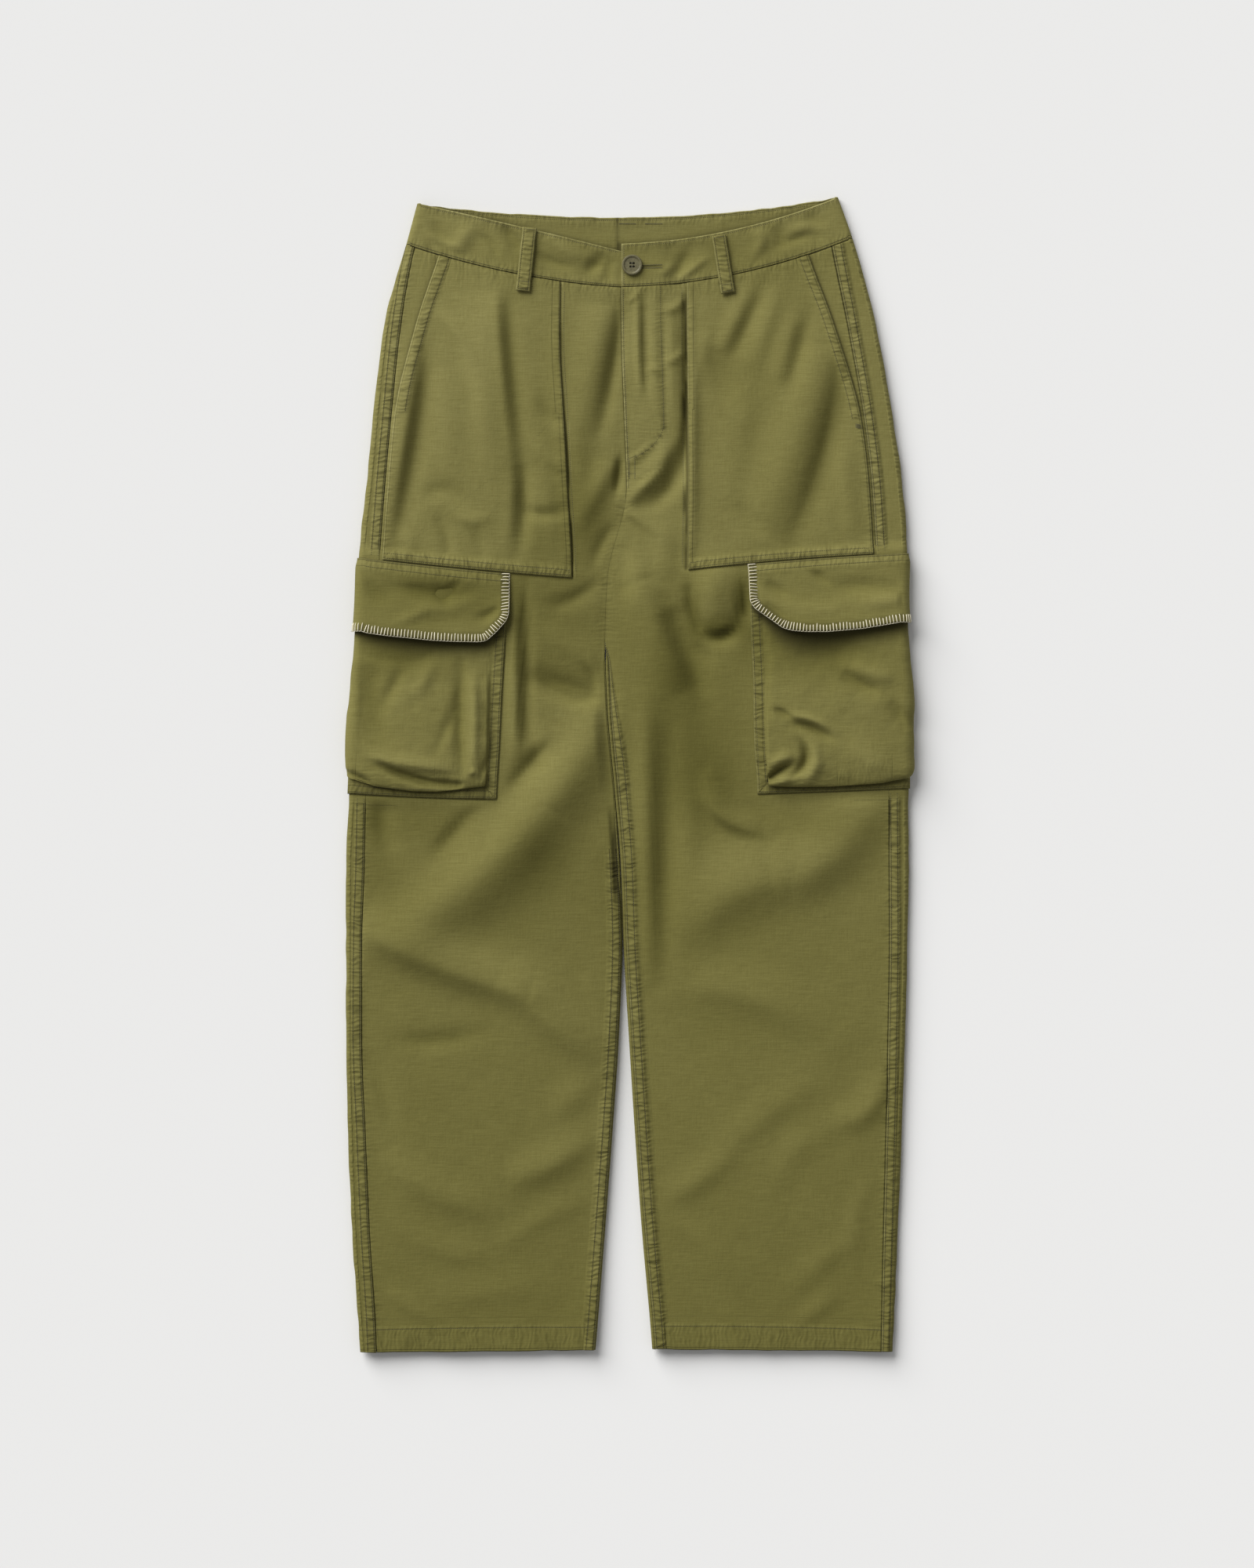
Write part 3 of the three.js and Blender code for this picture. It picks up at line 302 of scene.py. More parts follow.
    def overlap(self, s, x):
        if self.name == "right":
            return 0 * x
        seam = self.level["waist seam"]
        reach = SIDES["right"].at(s).centre + OVERLAP
        return OVERLAP_RISE * (1 - smooth(reach + 1, reach + 18, x)) * (1 - smooth(seam + 2, seam + 42, s))

    def base(self, s, x):
        """Height of the front's outer face with no folds, as the solids have it."""
        section = self.at(s)
        inner = section.z_centre / 2
        width = np.abs(section.centre - section.edge)
        from_edge, from_centre = np.abs(x - section.edge), np.abs(x - section.centre)
        t = np.clip((from_edge - section.roll) / (width - section.roll - inner), 0, 1)
        level = lerp(self.floor(s, 0) + 2 * section.roll, section.z_centre, t)
        level = level + section.dome * np.sin(np.pi * t) ** 0.8
        drop = round_off(section.roll, from_edge) + self.share(s) * round_off(inner, from_centre, self.squareness(s))
        return level - drop + self.lift(s, x, section) + self.overlap(s, x)

    def front_z(self, s, x, folds=1.0):
        section = self.at(s)
        y = self.front_y(section, x)
        from_edge, from_centre = np.abs(x - section.edge), np.abs(x - section.centre)
        fade = smooth(3, 20, from_edge) * lerp(1, smooth(1, 14, from_centre), self.share(s))
        fade = fade * (1 - self.under_cargo(s, x)) * smooth(*BELOW_BAND, y)
        soft = 0.35 * noise2(x / 46, y / 60, 3) + 0.16 * noise2(x / 17, y / 21, 4)
        return np.maximum(self.base(s, x) + folds * fade * (fold_height(x, y) + soft), LOWEST_FRONT)


def round_off(radius, distance, power=2.0):
    inside = np.clip(radius - distance, 0, radius)
    return radius - np.maximum(0, radius ** power - inside ** power) ** (1 / power)


SIDES = {"right": Side("right"), "left": Side("left")}

# Soft folds of the front. Each is a bent line through three points of the photo's frame, with its
# width to the left and right of the way it runs and its height: a ridge above zero, a trough below it.
FRONT_FOLDS = [
    # right leg, from the cargo pocket down
    (486, 1200, 616, 1116, 692, 1026, 36, 42, 8.2),
    (650, 1078, 728, 988, 770, 896, 32, 34, 6.2),
    (556, 1092, 580, 1062, 610, 1028, 10, 13, -2.6),
    (500, 1090, 488, 1050, 488, 1016, 12, 14, -2.4),
    (456, 1178, 556, 1228, 676, 1268, 34, 20, 6.8),
    (636, 1248, 700, 1300, 764, 1358, 34, 20, 5.0),
    (508, 1326, 556, 1328, 612, 1318, 12, 12, -1.6),
    (468, 1345, 486, 1382, 500, 1440, 10, 10, -0.8),
    (496, 1464, 546, 1516, 624, 1544, 24, 18, 2.5),
    (644, 1502, 700, 1486, 760, 1444, 24, 18, 2.7),
    (700, 1420, 730, 1400, 764, 1360, 20, 20, 1.4),
    (504, 1556, 560, 1594, 622, 1598, 18, 14, 1.1),
    (636, 1592, 690, 1556, 750, 1530, 14, 13, 0.8),
    (494, 1646, 520, 1666, 552, 1692, 12, 8, 1.3),
    (560, 1650, 620, 1650, 700, 1640, 20, 16, 0.7),
    (745, 1240, 756, 1262, 772, 1282, 8, 6, 1.0),
    # right thigh
    (655, 742, 658, 830, 658, 960, 6, 8, 4.8),
    (668, 742, 671, 840, 672, 940, 7, 9, -3.6),
    (672, 858, 722, 884, 772, 890, 20, 11, -6.4),
    (668, 900, 678, 940, 694, 990, 10, 12, -1.8),
    (650, 1010, 676, 976, 704, 950, 10, 14, -4.0),
    (690, 800, 730, 830, 768, 850, 20, 14, 1.8),
    (700, 770, 730, 764, 764, 742, 9, 10, -1.8),
    (744, 846, 758, 866, 768, 884, 5, 6, -1.5),
    # right front above the crotch
    (768, 388, 760, 450, 738, 556, 20, 24, 3.4),
    (792, 392, 784, 460, 764, 556, 10, 9, -3.2),
    (791, 586, 789, 606, 786, 628, 6, 5, -4.2),
    (778, 588, 764, 620, 744, 664, 13, 14, 2.8),
    (784, 670, 770, 690, 758, 720, 9, 9, -1.8),
    (730, 540, 740, 600, 742, 680, 12, 12, 1.2),
    # right patch pocket
    (632, 372, 637, 460, 654, 620, 10, 34, 3.8),
    (650, 380, 654, 460, 668, 590, 12, 8, -1.6),
    (664, 590, 668, 636, 664, 700, 10, 12, -4.4),
    (654, 600, 656, 636, 648, 700, 10, 10, 1.6),
    (668, 646, 690, 656, 724, 650, 8, 8, -2.0),
    (532, 448, 518, 545, 496, 680, 12, 24, 4.6),
    (546, 446, 530, 560, 508, 680, 16, 10, -2.8),
    (556, 400, 584, 426, 606, 470, 10, 7, 1.6),
    (604, 430, 616, 520, 622, 600, 14, 14, 1.2),
    (540, 640, 566, 626, 596, 650, 12, 10, -1.5),
    (556, 656, 570, 684, 572, 712, 7, 8, -1.6),
    (584, 650, 600, 664, 624, 658, 8, 7, 1.2),
    (600, 680, 612, 692, 616, 716, 8, 8, -1.1),
    (512, 676, 522, 690, 528, 710, 8, 9, 1.1),
    (690, 506, 700, 530, 720, 540, 9, 8, -1.4),
    (684, 560, 700, 586, 720, 596, 8, 8, 1.2),
    (690, 600, 700, 640, 704, 690, 9, 9, 0.8),
    (560, 470, 576, 540, 566, 620, 22, 16, 1.2),
    # fly
    (814, 372, 814, 440, 817, 500, 4.5, 5, 2.2),
    (822, 372, 822, 440, 825, 500, 4, 3.5, -2.2),
    (836, 376, 835, 450, 838, 530, 5, 5, 1.0),
    (856, 376, 856, 450, 858, 540, 7, 7, 1.6),
    (798, 640, 830, 610, 862, 560, 12, 9, 3.6),
    (808, 620, 826, 606, 846, 590, 4, 4, -1.5),
    (844, 392, 858, 394, 874, 378, 3.5, 4.5, 1.6),
    (844, 462, 860, 458, 875, 444, 3.5, 4.5, 1.5),
    (822, 478, 834, 470, 846, 476, 3, 4, 1.1),
    (801, 384, 808, 380, 816, 370, 3, 3, 1.0),
    (800, 590, 816, 580, 830, 566, 3, 4, 1.2),
    (826, 644, 858, 614, 870, 556, 12, 10, -4.2),
    # left front above the crotch
    (796, 652, 812, 660, 842, 686, 8, 6, 2.0),
    (812, 700, 812, 740, 808, 790, 16, 12, 2.2),
    (842, 664, 848, 700, 842, 740, 14, 14, 1.6),
    # left patch pocket
    (960, 362, 938, 410, 918, 452, 14, 12, 1.8),
    (974, 366, 950, 420, 932, 456, 11, 10, -2.1),
    (994, 366, 976, 420, 962, 470, 12, 14, 1.8),
    (1012, 400, 1000, 450, 990, 492, 12, 16, 2.0),
    (1034, 396, 1020, 450, 1008, 500, 10, 10, -1.9),
    (1042, 440, 1024, 540, 970, 680, 30, 34, 5.2),
    (1070, 460, 1056, 560, 1012, 690, 20, 12, -3.0),
    (912, 440, 920, 480, 940, 508, 20, 16, -1.8),
    (900, 420, 900, 440, 900, 466, 10, 10, 1.0),
    (956, 480, 942, 560, 930, 650, 18, 24, 1.2),
    (940, 640, 956, 660, 980, 684, 10, 10, -1.2),
    (886, 470, 884, 560, 886, 690, 8, 6, 1.8),
    (1070, 560, 1080, 620, 1086, 690, 14, 12, 1.2),
    # left thigh and knee
    (908, 720, 912, 752, 919, 792, 27, 23, 5.4),
    (874, 380, 876, 500, 872, 610, 5, 5, -4.6),
    (881, 742, 884, 780, 896, 804, 7, 8, -3.8),
    (894, 806, 922, 814, 946, 790, 9, 9, -4.0),
    (946, 790, 951, 766, 951, 738, 7, 8, -4.2),
    (886, 818, 900, 834, 914, 838, 12, 12, -1.4),
    (814, 742, 842, 806, 876, 880, 20, 34, 5.6),
    (850, 776, 872, 824, 900, 894, 18, 18, -5.4),
    (824, 890, 825, 1040, 829, 1246, 12, 15, 3.2),
    (854, 900, 852, 1060, 848, 1246, 13, 16, -2.6),
    (902, 996, 920, 1040, 974, 1060, 18, 9, 4.4),
    (1120, 1004, 1060, 1088, 984, 1124, 33, 50, 6.0),
    (1010, 1120, 940, 1134, 862, 1200, 34, 46, 5.0),
    (884, 996, 880, 1060, 884, 1120, 14, 14, 1.0),
    (868, 1262, 960, 1270, 1054, 1326, 34, 22, 2.8),
    (1126, 1364, 1108, 1414, 1064, 1432, 15, 20, 2.4),
    (1066, 1434, 1020, 1464, 984, 1514, 15, 20, 0.9),
    (1050, 1380, 980, 1418, 916, 1484, 18, 26, 1.25),
    (930, 1472, 890, 1506, 844, 1536, 15, 20, 1.6),
    (846, 1552, 900, 1590, 946, 1656, 16, 12, 1.4),
    (1090, 1580, 1046, 1612, 1008, 1650, 12, 16, 0.9),
    (1066, 1652, 1040, 1672, 1018, 1692, 10, 12, 1.0),
    (1110, 1500, 1090, 1560, 1092, 1620, 12, 12, 0.8),
]
STEPS = 20


def bent_line(row):
    a, b, c = px(row[0], row[1]), px(row[2], row[3]), px(row[4], row[5])
    control = 2 * b - (a + c) / 2
    t = np.linspace(0, 1, STEPS + 1)[:, None]
    return (1 - t) ** 2 * a + 2 * t * (1 - t) * control + t ** 2 * c


def fold_sum(folds, x, y):
    """Sum of the folds at points x, y. Widths are in pixels of 0.7 mm, to the left and right of the line."""
    total = np.zeros(np.shape(x))
    for row in folds:
        line = bent_line(row)
        left, right, height = row[6] * PIXEL, row[7] * PIXEL, row[8]
        reach = 2.6 * max(left, right)
        near = ((x > line[:, 0].min() - reach) & (x < line[:, 0].max() + reach)
                & (y > line[:, 1].min() - reach) & (y < line[:, 1].max() + reach))
        if not near.any():
            continue
        p = np.stack([x[near], y[near]], -1)[:, None, :]
        a, b = line[:-1][None], line[1:][None]
        edge = b - a
        t = np.clip(((p - a) * edge).sum(-1) / (edge ** 2).sum(-1), 0, 1)
        away = p - a - edge * t[..., None]
        distance = np.hypot(away[..., 0], away[..., 1])
        k = distance.argmin(1)
        rows = np.arange(len(k))
        along = (k + t[rows, k]) / STEPS
        e, w = edge[0, k], away[rows, k]
        side = e[:, 0] * w[:, 1] - e[:, 1] * w[:, 0]
        off = side / np.hypot(e[:, 0], e[:, 1])
        width = lerp(right, left, smooth(-0.6 * right, 0.6 * left, off))
        ends = np.sin(np.pi * lerp(0.04, 0.96, along)) ** 0.75
        total[near] += height * ends * np.exp(-(distance[rows, k] / width) ** 2)
    return total


def fold_height(x, y):
    return 1.3 * fold_sum(FRONT_FOLDS, x, y)


def ladder(along, seed, pitch=8.0):
    """Puckers along a stitched seam: uneven waves of about one pitch."""
    wave = np.sin(2 * math.pi * (along / pitch + 0.55 * noise1(along / 19, seed)))
    return wave * (0.65 + 0.45 * noise1(along / 31, seed + 1)) + 0.3 * noise1(along / 3.1, seed + 2)


# Relief along seams. The finest lines are drawn by the canvas material from two fields in millimetres:
# "felled", the distance across a felled seam from its ditch, and "edge", the distance in from a sewn edge,
# with a second row of stitches at "row". "gather" says how far a place is puckered, above zero along Y.
def felled_band(d, along, seed, width=SEAM_WIDTH):
    """Height of the raised band. d runs from the ditch across it."""
    waves = ladder(along + 0.5 * d, seed, 11)
    return 0.75 * plateau(d, 0.3, width, 0.7) + 0.3 * waves * plateau(d, 0.8, width + 1.5, 1.4)


def beside_seam(d, along, seed, reach=5.0):
    """Height of the plain cloth beside the ditch."""
    return 0.2 * ladder(along, seed, 11) * np.exp(-np.maximum(d, 0) / reach)


def hem_relief(side, s, x):
    """The turned hem: a row of stitches and the roping below it."""
    up = side.level["hem"] - s
    waves = ladder(x + 0.35 * up, side.pick(71, 72), 12)
    inside = smooth(HEM_DEPTH + 2, HEM_DEPTH - 2, up)
    return 0.3 * smooth(HEM_DEPTH + 0.6, HEM_DEPTH - 0.8, up) + 0.35 * waves * inside


def spread(stops, fine, coarse, growth=0.28):
    """Numbers from the first stop to the last, close together near every stop."""
    start, end = stops[0], stops[-1]
    out = [start]
    while out[-1] < end:
        gap = min(abs(out[-1] - stop) for stop in stops)
        out.append(out[-1] + min(coarse, fine + growth * gap))
    scale = (end - start) / (out[-1] - start)
    return start + (np.array(out) - start) * scale


# Broad painted shade and painted light on the front, standing in for the shading of the folds and the shadows under the
# flaps and bulges, in pixels: middle, reach across and up, change of tone.
TONES = [
    (875, 920, 80, 110, -0.34), (850, 840, 50, 60, -0.10), (712, 800, 62, 76, -0.21), (560, 768, 120, 36, -0.31),
    (1060, 766, 110, 30, -0.08),
    (744, 650, 36, 70, -0.36), (905, 1005, 52, 50, -0.26), (872, 862, 24, 24, -0.16), (846, 800, 20, 60, -0.10),
    (918, 803, 30, 12, -0.44), (948, 768, 9, 30, -0.46), (887, 784, 8, 28, -0.30), (560, 1100, 60, 60, -0.06),
    (690, 1096, 52, 56, -0.12), (736, 1000, 24, 60, -0.06), (648, 500, 20, 120, -0.13), (560, 742, 110, 22, -0.08),
    (930, 1200, 110, 80, -0.10), (690, 1110, 70, 60, -0.08), (480, 1070, 22, 70, -0.12), (820, 1110, 60, 110, -0.08),
    (690, 560, 34, 170, -0.05), (560, 690, 90, 20, 0.03), (600, 480, 60, 100, 0.03),
    (470, 900, 18, 80, -0.05), (1000, 640, 60, 120, -0.04), (760, 470, 30, 90, -0.07), (930, 480, 30, 40, -0.08),
    (640, 1180, 60, 30, -0.05), (560, 1330, 50, 16, -0.06), (940, 1310, 90, 24, -0.05), (1020, 850, 70, 20, -0.06),
    (860, 325, 330, 40, -0.17), (1000, 480, 90, 170, -0.17), (1045, 835, 105, 34, -0.22), (1030, 1048, 90, 26, -0.20),
    (520, 842, 60, 26, -0.26), (520, 1045, 90, 26, -0.16), (500, 1150, 46, 60, -0.14), (800, 780, 26, 56, -0.14),
    (830, 1140, 60, 90, -0.12), (900, 740, 40, 36, -0.12), (722, 470, 36, 100, -0.10), (684, 690, 24, 30, -0.16),
    (764, 1520, 12, 190, 0.12), (985, 812, 44, 24, -0.20),
]


def broad_painted_shading(x, y):
    total = 0 * x
    for x0, y0, reach, up, change in TONES:
        mx, my = px(x0, y0)
        total = total + change * np.exp(-((x - mx) / (PIXEL * reach)) ** 2 - ((y - my) / (PIXEL * up)) ** 2)
    return total


# Meshes
pieces = {}
trees = {}


# shade holds painted shade below zero, and painted highlights and worn lines above zero; tone holds painted light and
# shade that scale the colour
FIELDS = {"shade": 0.0, "tone": 0.0, "felled": AWAY, "edge": AWAY, "row": NO_ROW, "gather": 0.0}


def shell(name, grid, thickness=CLOTH, under=None, **fields):
    """A closed thin wall from a grid of outer points (rows, columns, 3), in the place of the node of that name."""
    rows, cols, _ = grid.shape
    normals = grid_normals(grid)
    inner = grid - normals * thickness if under is None else under
    points = np.concatenate([grid.reshape(-1, 3), inner.reshape(-1, 3)]) * MM
    index = np.arange(rows * cols).reshape(rows, cols)
    back = index + rows * cols
    front_quads = np.stack([index[:-1, :-1], index[1:, :-1], index[1:, 1:], index[:-1, 1:]], -1).reshape(-1, 4)
    back_quads = np.stack([back[:-1, :-1], back[:-1, 1:], back[1:, 1:], back[1:, :-1]], -1).reshape(-1, 4)
    rims = [
        np.stack([index[0, :-1], index[0, 1:], back[0, 1:], back[0, :-1]], -1),
        np.stack([index[-1, 1:], index[-1, :-1], back[-1, :-1], back[-1, 1:]], -1),
        np.stack([index[1:, 0], index[:-1, 0], back[:-1, 0], back[1:, 0]], -1),
        np.stack([index[:-1, -1], index[1:, -1], back[1:, -1], back[:-1, -1]], -1),
    ]
    quads = np.concatenate([front_quads, back_quads, *rims])
    a, b, c = (points[front_quads[:, k]] for k in (0, 1, 2))
    facing = (np.cross(b - a, c - a) * normals[:-1, :-1].reshape(-1, 3)).sum()
    if facing < 0:
        quads = quads[:, ::-1]
    fields = {key: np.broadcast_to(fields.get(key, plain), (rows, cols)).reshape(-1) for key, plain in FIELDS.items()}
    obj = mesh_object(f"{name}_cloth", points, quads, canvas, {key: np.tile(field, 2) for key, field in fields.items()})
    pieces[name] = obj
    trees[name] = BVHTree.FromPolygons([Vector(p) for p in points[: rows * cols]], front_quads.tolist())
    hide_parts(name)
    return obj


def crisp_end(obj, shape, chosen):
    """Sharp shading along the last column of a shell, where it meets its neighbour edge to edge."""
    ends = np.zeros((2, *shape[:2]), bool)
    ends[:, :, -1] = np.broadcast_to(chosen, (shape[0],))
    pairs = np.zeros(2 * len(obj.data.edges), np.int32)
    obj.data.edges.foreach_get("vertices", pairs)
    obj.data.edges.foreach_set("use_edge_sharp", ends.reshape(-1)[pairs.reshape(-1, 2)].all(1))


def grid_normals(grid):
    du = np.gradient(grid, axis=1)
    dv = np.gradient(grid, axis=0)
    n = np.cross(du, dv)
    n /= np.maximum(np.linalg.norm(n, axis=-1, keepdims=True), 1e-9)
    return n if n[0, 0, 2] > 0 else -n


def mesh_object(name, points, faces, material, fields=None):
    mesh = bpy.data.meshes.new(name)
    faces = np.asarray(faces)
    sides = faces.shape[1]
    mesh.vertices.add(len(points))
    mesh.vertices.foreach_set("co", np.asarray(points, np.float32).ravel())
    mesh.loops.add(faces.size)
    mesh.loops.foreach_set("vertex_index", faces.astype(np.int32).ravel())
    mesh.polygons.add(len(faces))
    mesh.polygons.foreach_set("loop_start", np.arange(0, faces.size, sides, dtype=np.int32))
    mesh.polygons.foreach_set("use_smooth", np.full(len(faces), True))
    mesh.update(calc_edges=True)
    mesh.validate()
    if fields is not None:
        # painted light: the cloth is made lighter towards the waist, where the light falls more strongly, and the broad
        # painted shade and light of TONES is added
        fields["tone"] = fields["tone"] - 0.02 + 0.38 * points[:, 1] + broad_painted_shading(points[:, 0] / MM, points[:, 1] / MM)
        for key, values in fields.items():
            attribute = mesh.attributes.new(key, "FLOAT", "POINT")
            attribute.data.foreach_set("value", np.asarray(values, np.float32))
    mesh.materials.append(material)
    obj = bpy.data.objects.new(name, mesh)
    bpy.context.scene.collection.objects.link(obj)
    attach(obj, "root")
    pieces[name] = obj
    return obj


# Materials
def node_tree(name, roughness):
    material = bpy.data.materials.new(name)
    material.use_nodes = True
    tree = material.node_tree
    shader = tree.nodes["Principled BSDF"]
    shader.inputs["Roughness"].default_value = roughness
    return material, tree, shader


def linear(r, g, b):
    return tuple(((v / 255 + 0.055) / 1.055) ** 2.4 if v > 10 else v / 255 / 12.92 for v in (r, g, b)) + (1,)


class Nodes:
    """A few short words for building a node tree."""

    def __init__(self, tree):
        self.tree = tree

    def add(self, kind, **inputs):
        node = self.tree.nodes.new(kind)
        for key, value in inputs.items():
            socket = node.inputs[key.replace("_", " ")] if isinstance(key, str) else node.inputs[key]
            self.put(socket, value)
        return node

    def put(self, socket, value):
        if isinstance(value, bpy.types.NodeSocket):
            self.tree.links.new(value, socket)
        else:
            socket.default_value = value

    def math(self, operation, a, b=0.0, clamp=False):
        node = self.tree.nodes.new("ShaderNodeMath")
        node.operation = operation
        node.use_clamp = clamp
        self.put(node.inputs[0], a)
        self.put(node.inputs[1], b)
        return node.outputs[0]

    def noise(self, vector, scale, detail=2.0, roughness=0.5, distortion=0.0):
        node = self.add("ShaderNodeTexNoise", Vector=vector, Scale=scale, Detail=detail, Roughness=roughness,
                        Distortion=distortion)
        return node.outputs["Fac"]

    def stretch(self, vector, x, y, z=1.0):
        node = self.tree.nodes.new("ShaderNodeVectorMath")
        node.operation = "MULTIPLY"
        self.put(node.inputs[0], vector)
        node.inputs[1].default_value = (x, y, z)
        return node.outputs[0]

    def ramp(self, value, low, high):
        node = self.add("ShaderNodeMapRange", Value=value)
        node.inputs["From Min"].default_value = low
        node.inputs["From Max"].default_value = high
        return node.outputs["Result"]

    def line(self, field, at, width):
        """1 where a field is at a value, easing to 0 at a width from it."""
        away = self.math("ABSOLUTE", self.math("SUBTRACT", field, at))
        node = self.add("ShaderNodeMapRange", Value=away)
        node.interpolation_type = "SMOOTHSTEP"
        node.inputs["From Min"].default_value = 0.0
        node.inputs["From Max"].default_value = width
        node.inputs["To Min"].default_value = 1.0
        node.inputs["To Max"].default_value = 0.0
        return node.outputs["Result"]

    def field(self, name):
        node = self.tree.nodes.new("ShaderNodeAttribute")
        node.attribute_name = name
        return node.outputs["Fac"]

    def total(self, *terms):
        """Sum of (socket, weight) pairs."""
        result = None
        for socket, weight in terms:
            term = self.math("MULTIPLY", socket, weight)
            result = term if result is None else self.math("ADD", result, term)
        return result

    def mix(self, factor, a, b, blend="MIX"):
        node = self.tree.nodes.new("ShaderNodeMix")
        node.data_type = "RGBA"
        node.blend_type = blend
        node.clamp_factor = True
        self.put(node.inputs[0], factor)
        self.put(node.inputs[6], a)
        self.put(node.inputs[7], b)
        return node.outputs[2]


# Spacing of the puckers beside a row of stitches, in metres.
RUNG = 0.0043


def canvas_material():
    """Washed cotton canvas: plain weave with slubs, cloudy fading and worn edges, with painted shade in ditches, stitch
    rows and pucker hollows, painted light on pucker crests, and the painted shade and light of the shade and tone
    fields.
    """
    material, tree, shader = node_tree("olive_canvas", 0.93)
    n = Nodes(tree)
    place = tree.nodes.new("ShaderNodeTexCoord").outputs["Object"]
    mid, light, dark = linear(115, 110, 60), linear(131, 126, 74), linear(98, 92, 45)
    clouds = n.ramp(n.noise(place, 16, 3, 0.55), 0.3, 0.7)
    colour = n.mix(clouds, linear(112, 107, 57), linear(118, 113, 63))
    patches = n.ramp(n.noise(place, 60, 4, 0.6), 0.25, 0.75)
    colour = n.mix(n.math("MULTIPLY", patches, 0.35), colour, mid)
    weft = n.noise(n.stretch(place, 55, 1250), 1.0, 3, 0.6)
    warp = n.noise(n.stretch(place, 1300, 60), 1.0, 3, 0.6)
    slubs = n.ramp(n.noise(n.stretch(place, 22, 620), 1.0, 2, 0.5), 0.52, 0.8)
    fleck = n.noise(place, 1500, 2, 0.6)
    yarns = n.math("ADD", n.math("MULTIPLY", weft, 0.62), n.math("MULTIPLY", warp, 0.38))
    yarns = n.math("ADD", n.math("MULTIPLY", yarns, 0.75), n.math("MULTIPLY", fleck, 0.25))
    colour = n.mix(n.ramp(yarns, 0.38, 0.62), n.mix(0.55, colour, dark), n.mix(0.42, colour, light))
    colour = n.mix(n.math("MULTIPLY", slubs, 0.3), colour, light)
    felled, edge, row = n.field("felled"), n.field("edge"), n.field("row")
    shade, gather = n.field("shade"), n.field("gather")
    lone = n.math("SUBTRACT", edge, row)
    grit = n.ramp(n.noise(place, 420, 3, 0.6), 0.3, 0.7)
    worn_places = n.ramp(n.noise(place, 95, 3, 0.6), 0.32, 0.62)
    # puckers: ladders across the seams, with rungs of nearly even spacing that sway and fade in and out
    axes = n.add("ShaderNodeSeparateXYZ", Vector=place)
    sway = n.math("MULTIPLY", n.noise(place, 85, 1.0, 0.4), 14.0)

    def rungs(axis, x, y):
        turn = n.math("ADD", n.math("MULTIPLY", axes.outputs[axis], 2 * math.pi / RUNG), sway)
        wave = n.math("MULTIPLY", n.math("ADD", n.math("SINE", turn), 1.0), 0.5)
        uneven = n.ramp(n.noise(n.stretch(place, x, y), 1.0, 1.0, 0.4, 0.4), 0.25, 0.75)
        return n.total((wave, 0.26), (uneven, 0.74))

    up_down, side_side = rungs("Y", 60, 150), rungs("X", 150, 60)
    along_y = n.math("MAXIMUM", gather, 0.0)
    along_x = n.math("MAXIMUM", n.math("MULTIPLY", gather, -1.0), 0.0)
    puckers = n.math("ADD", n.math("MULTIPLY", up_down, along_y), n.math("MULTIPLY", side_side, along_x))
    rows = n.total((n.line(felled, SEAM_ROWS[0], 0.8), 1.0), (n.line(felled, SEAM_ROWS[1], 0.8), 1.0),
                   (n.line(edge, 1.8, 0.7), 0.6), (n.line(lone, 0.0, 0.8), 0.55))
    # painted shade in the seam's ditch and beside the raised band
    ditch_line = n.total((n.line(felled, -0.1, 0.7), 0.45), (n.line(felled, 10.4, 2.4), 0.2))
    # lighter worn lines along seam bands and edges, with painted light on the pucker crests
    worn_and_pucker_light = n.total((n.line(felled, 0.6, 0.7), 0.8), (n.line(felled, 4.6, 2.6), 0.2), (n.line(edge, 0.3, 0.9), 1.0),
                   (puckers, 0.3))
    # the worn lines and the shade field above zero (worn edges and painted highlights) lighten the colour
    value = n.total((worn_and_pucker_light, 0.62), (shade, 1.0))
    wear_and_highlight = n.math("MULTIPLY", n.math("MAXIMUM", value, 0.0),
                  n.total((grit, 0.45), (worn_places, 0.65)))
    wear_and_highlight = n.math("MULTIPLY", wear_and_highlight, 0.9, True)
    colour = n.mix(wear_and_highlight, colour, linear(156, 151, 101))
    # painted shade in the pucker hollows
    hollow = n.math("MAXIMUM", n.math("SUBTRACT", n.math("MULTIPLY", n.math("ADD", along_x, along_y), 0.52),
                                      puckers), 0.0)
    # painted shade: the shade field below zero, the ditch lines, the stitch rows and the pucker hollows darken the
    # colour
    ditch = n.total((n.math("MAXIMUM", n.math("MULTIPLY", shade, -1.0), 0.0), 0.8), (ditch_line, 0.75), (rows, 0.5),
                    (hollow, 1.0))
    colour = n.mix(n.math("MINIMUM", ditch, 0.95), colour, linear(54, 50, 22))
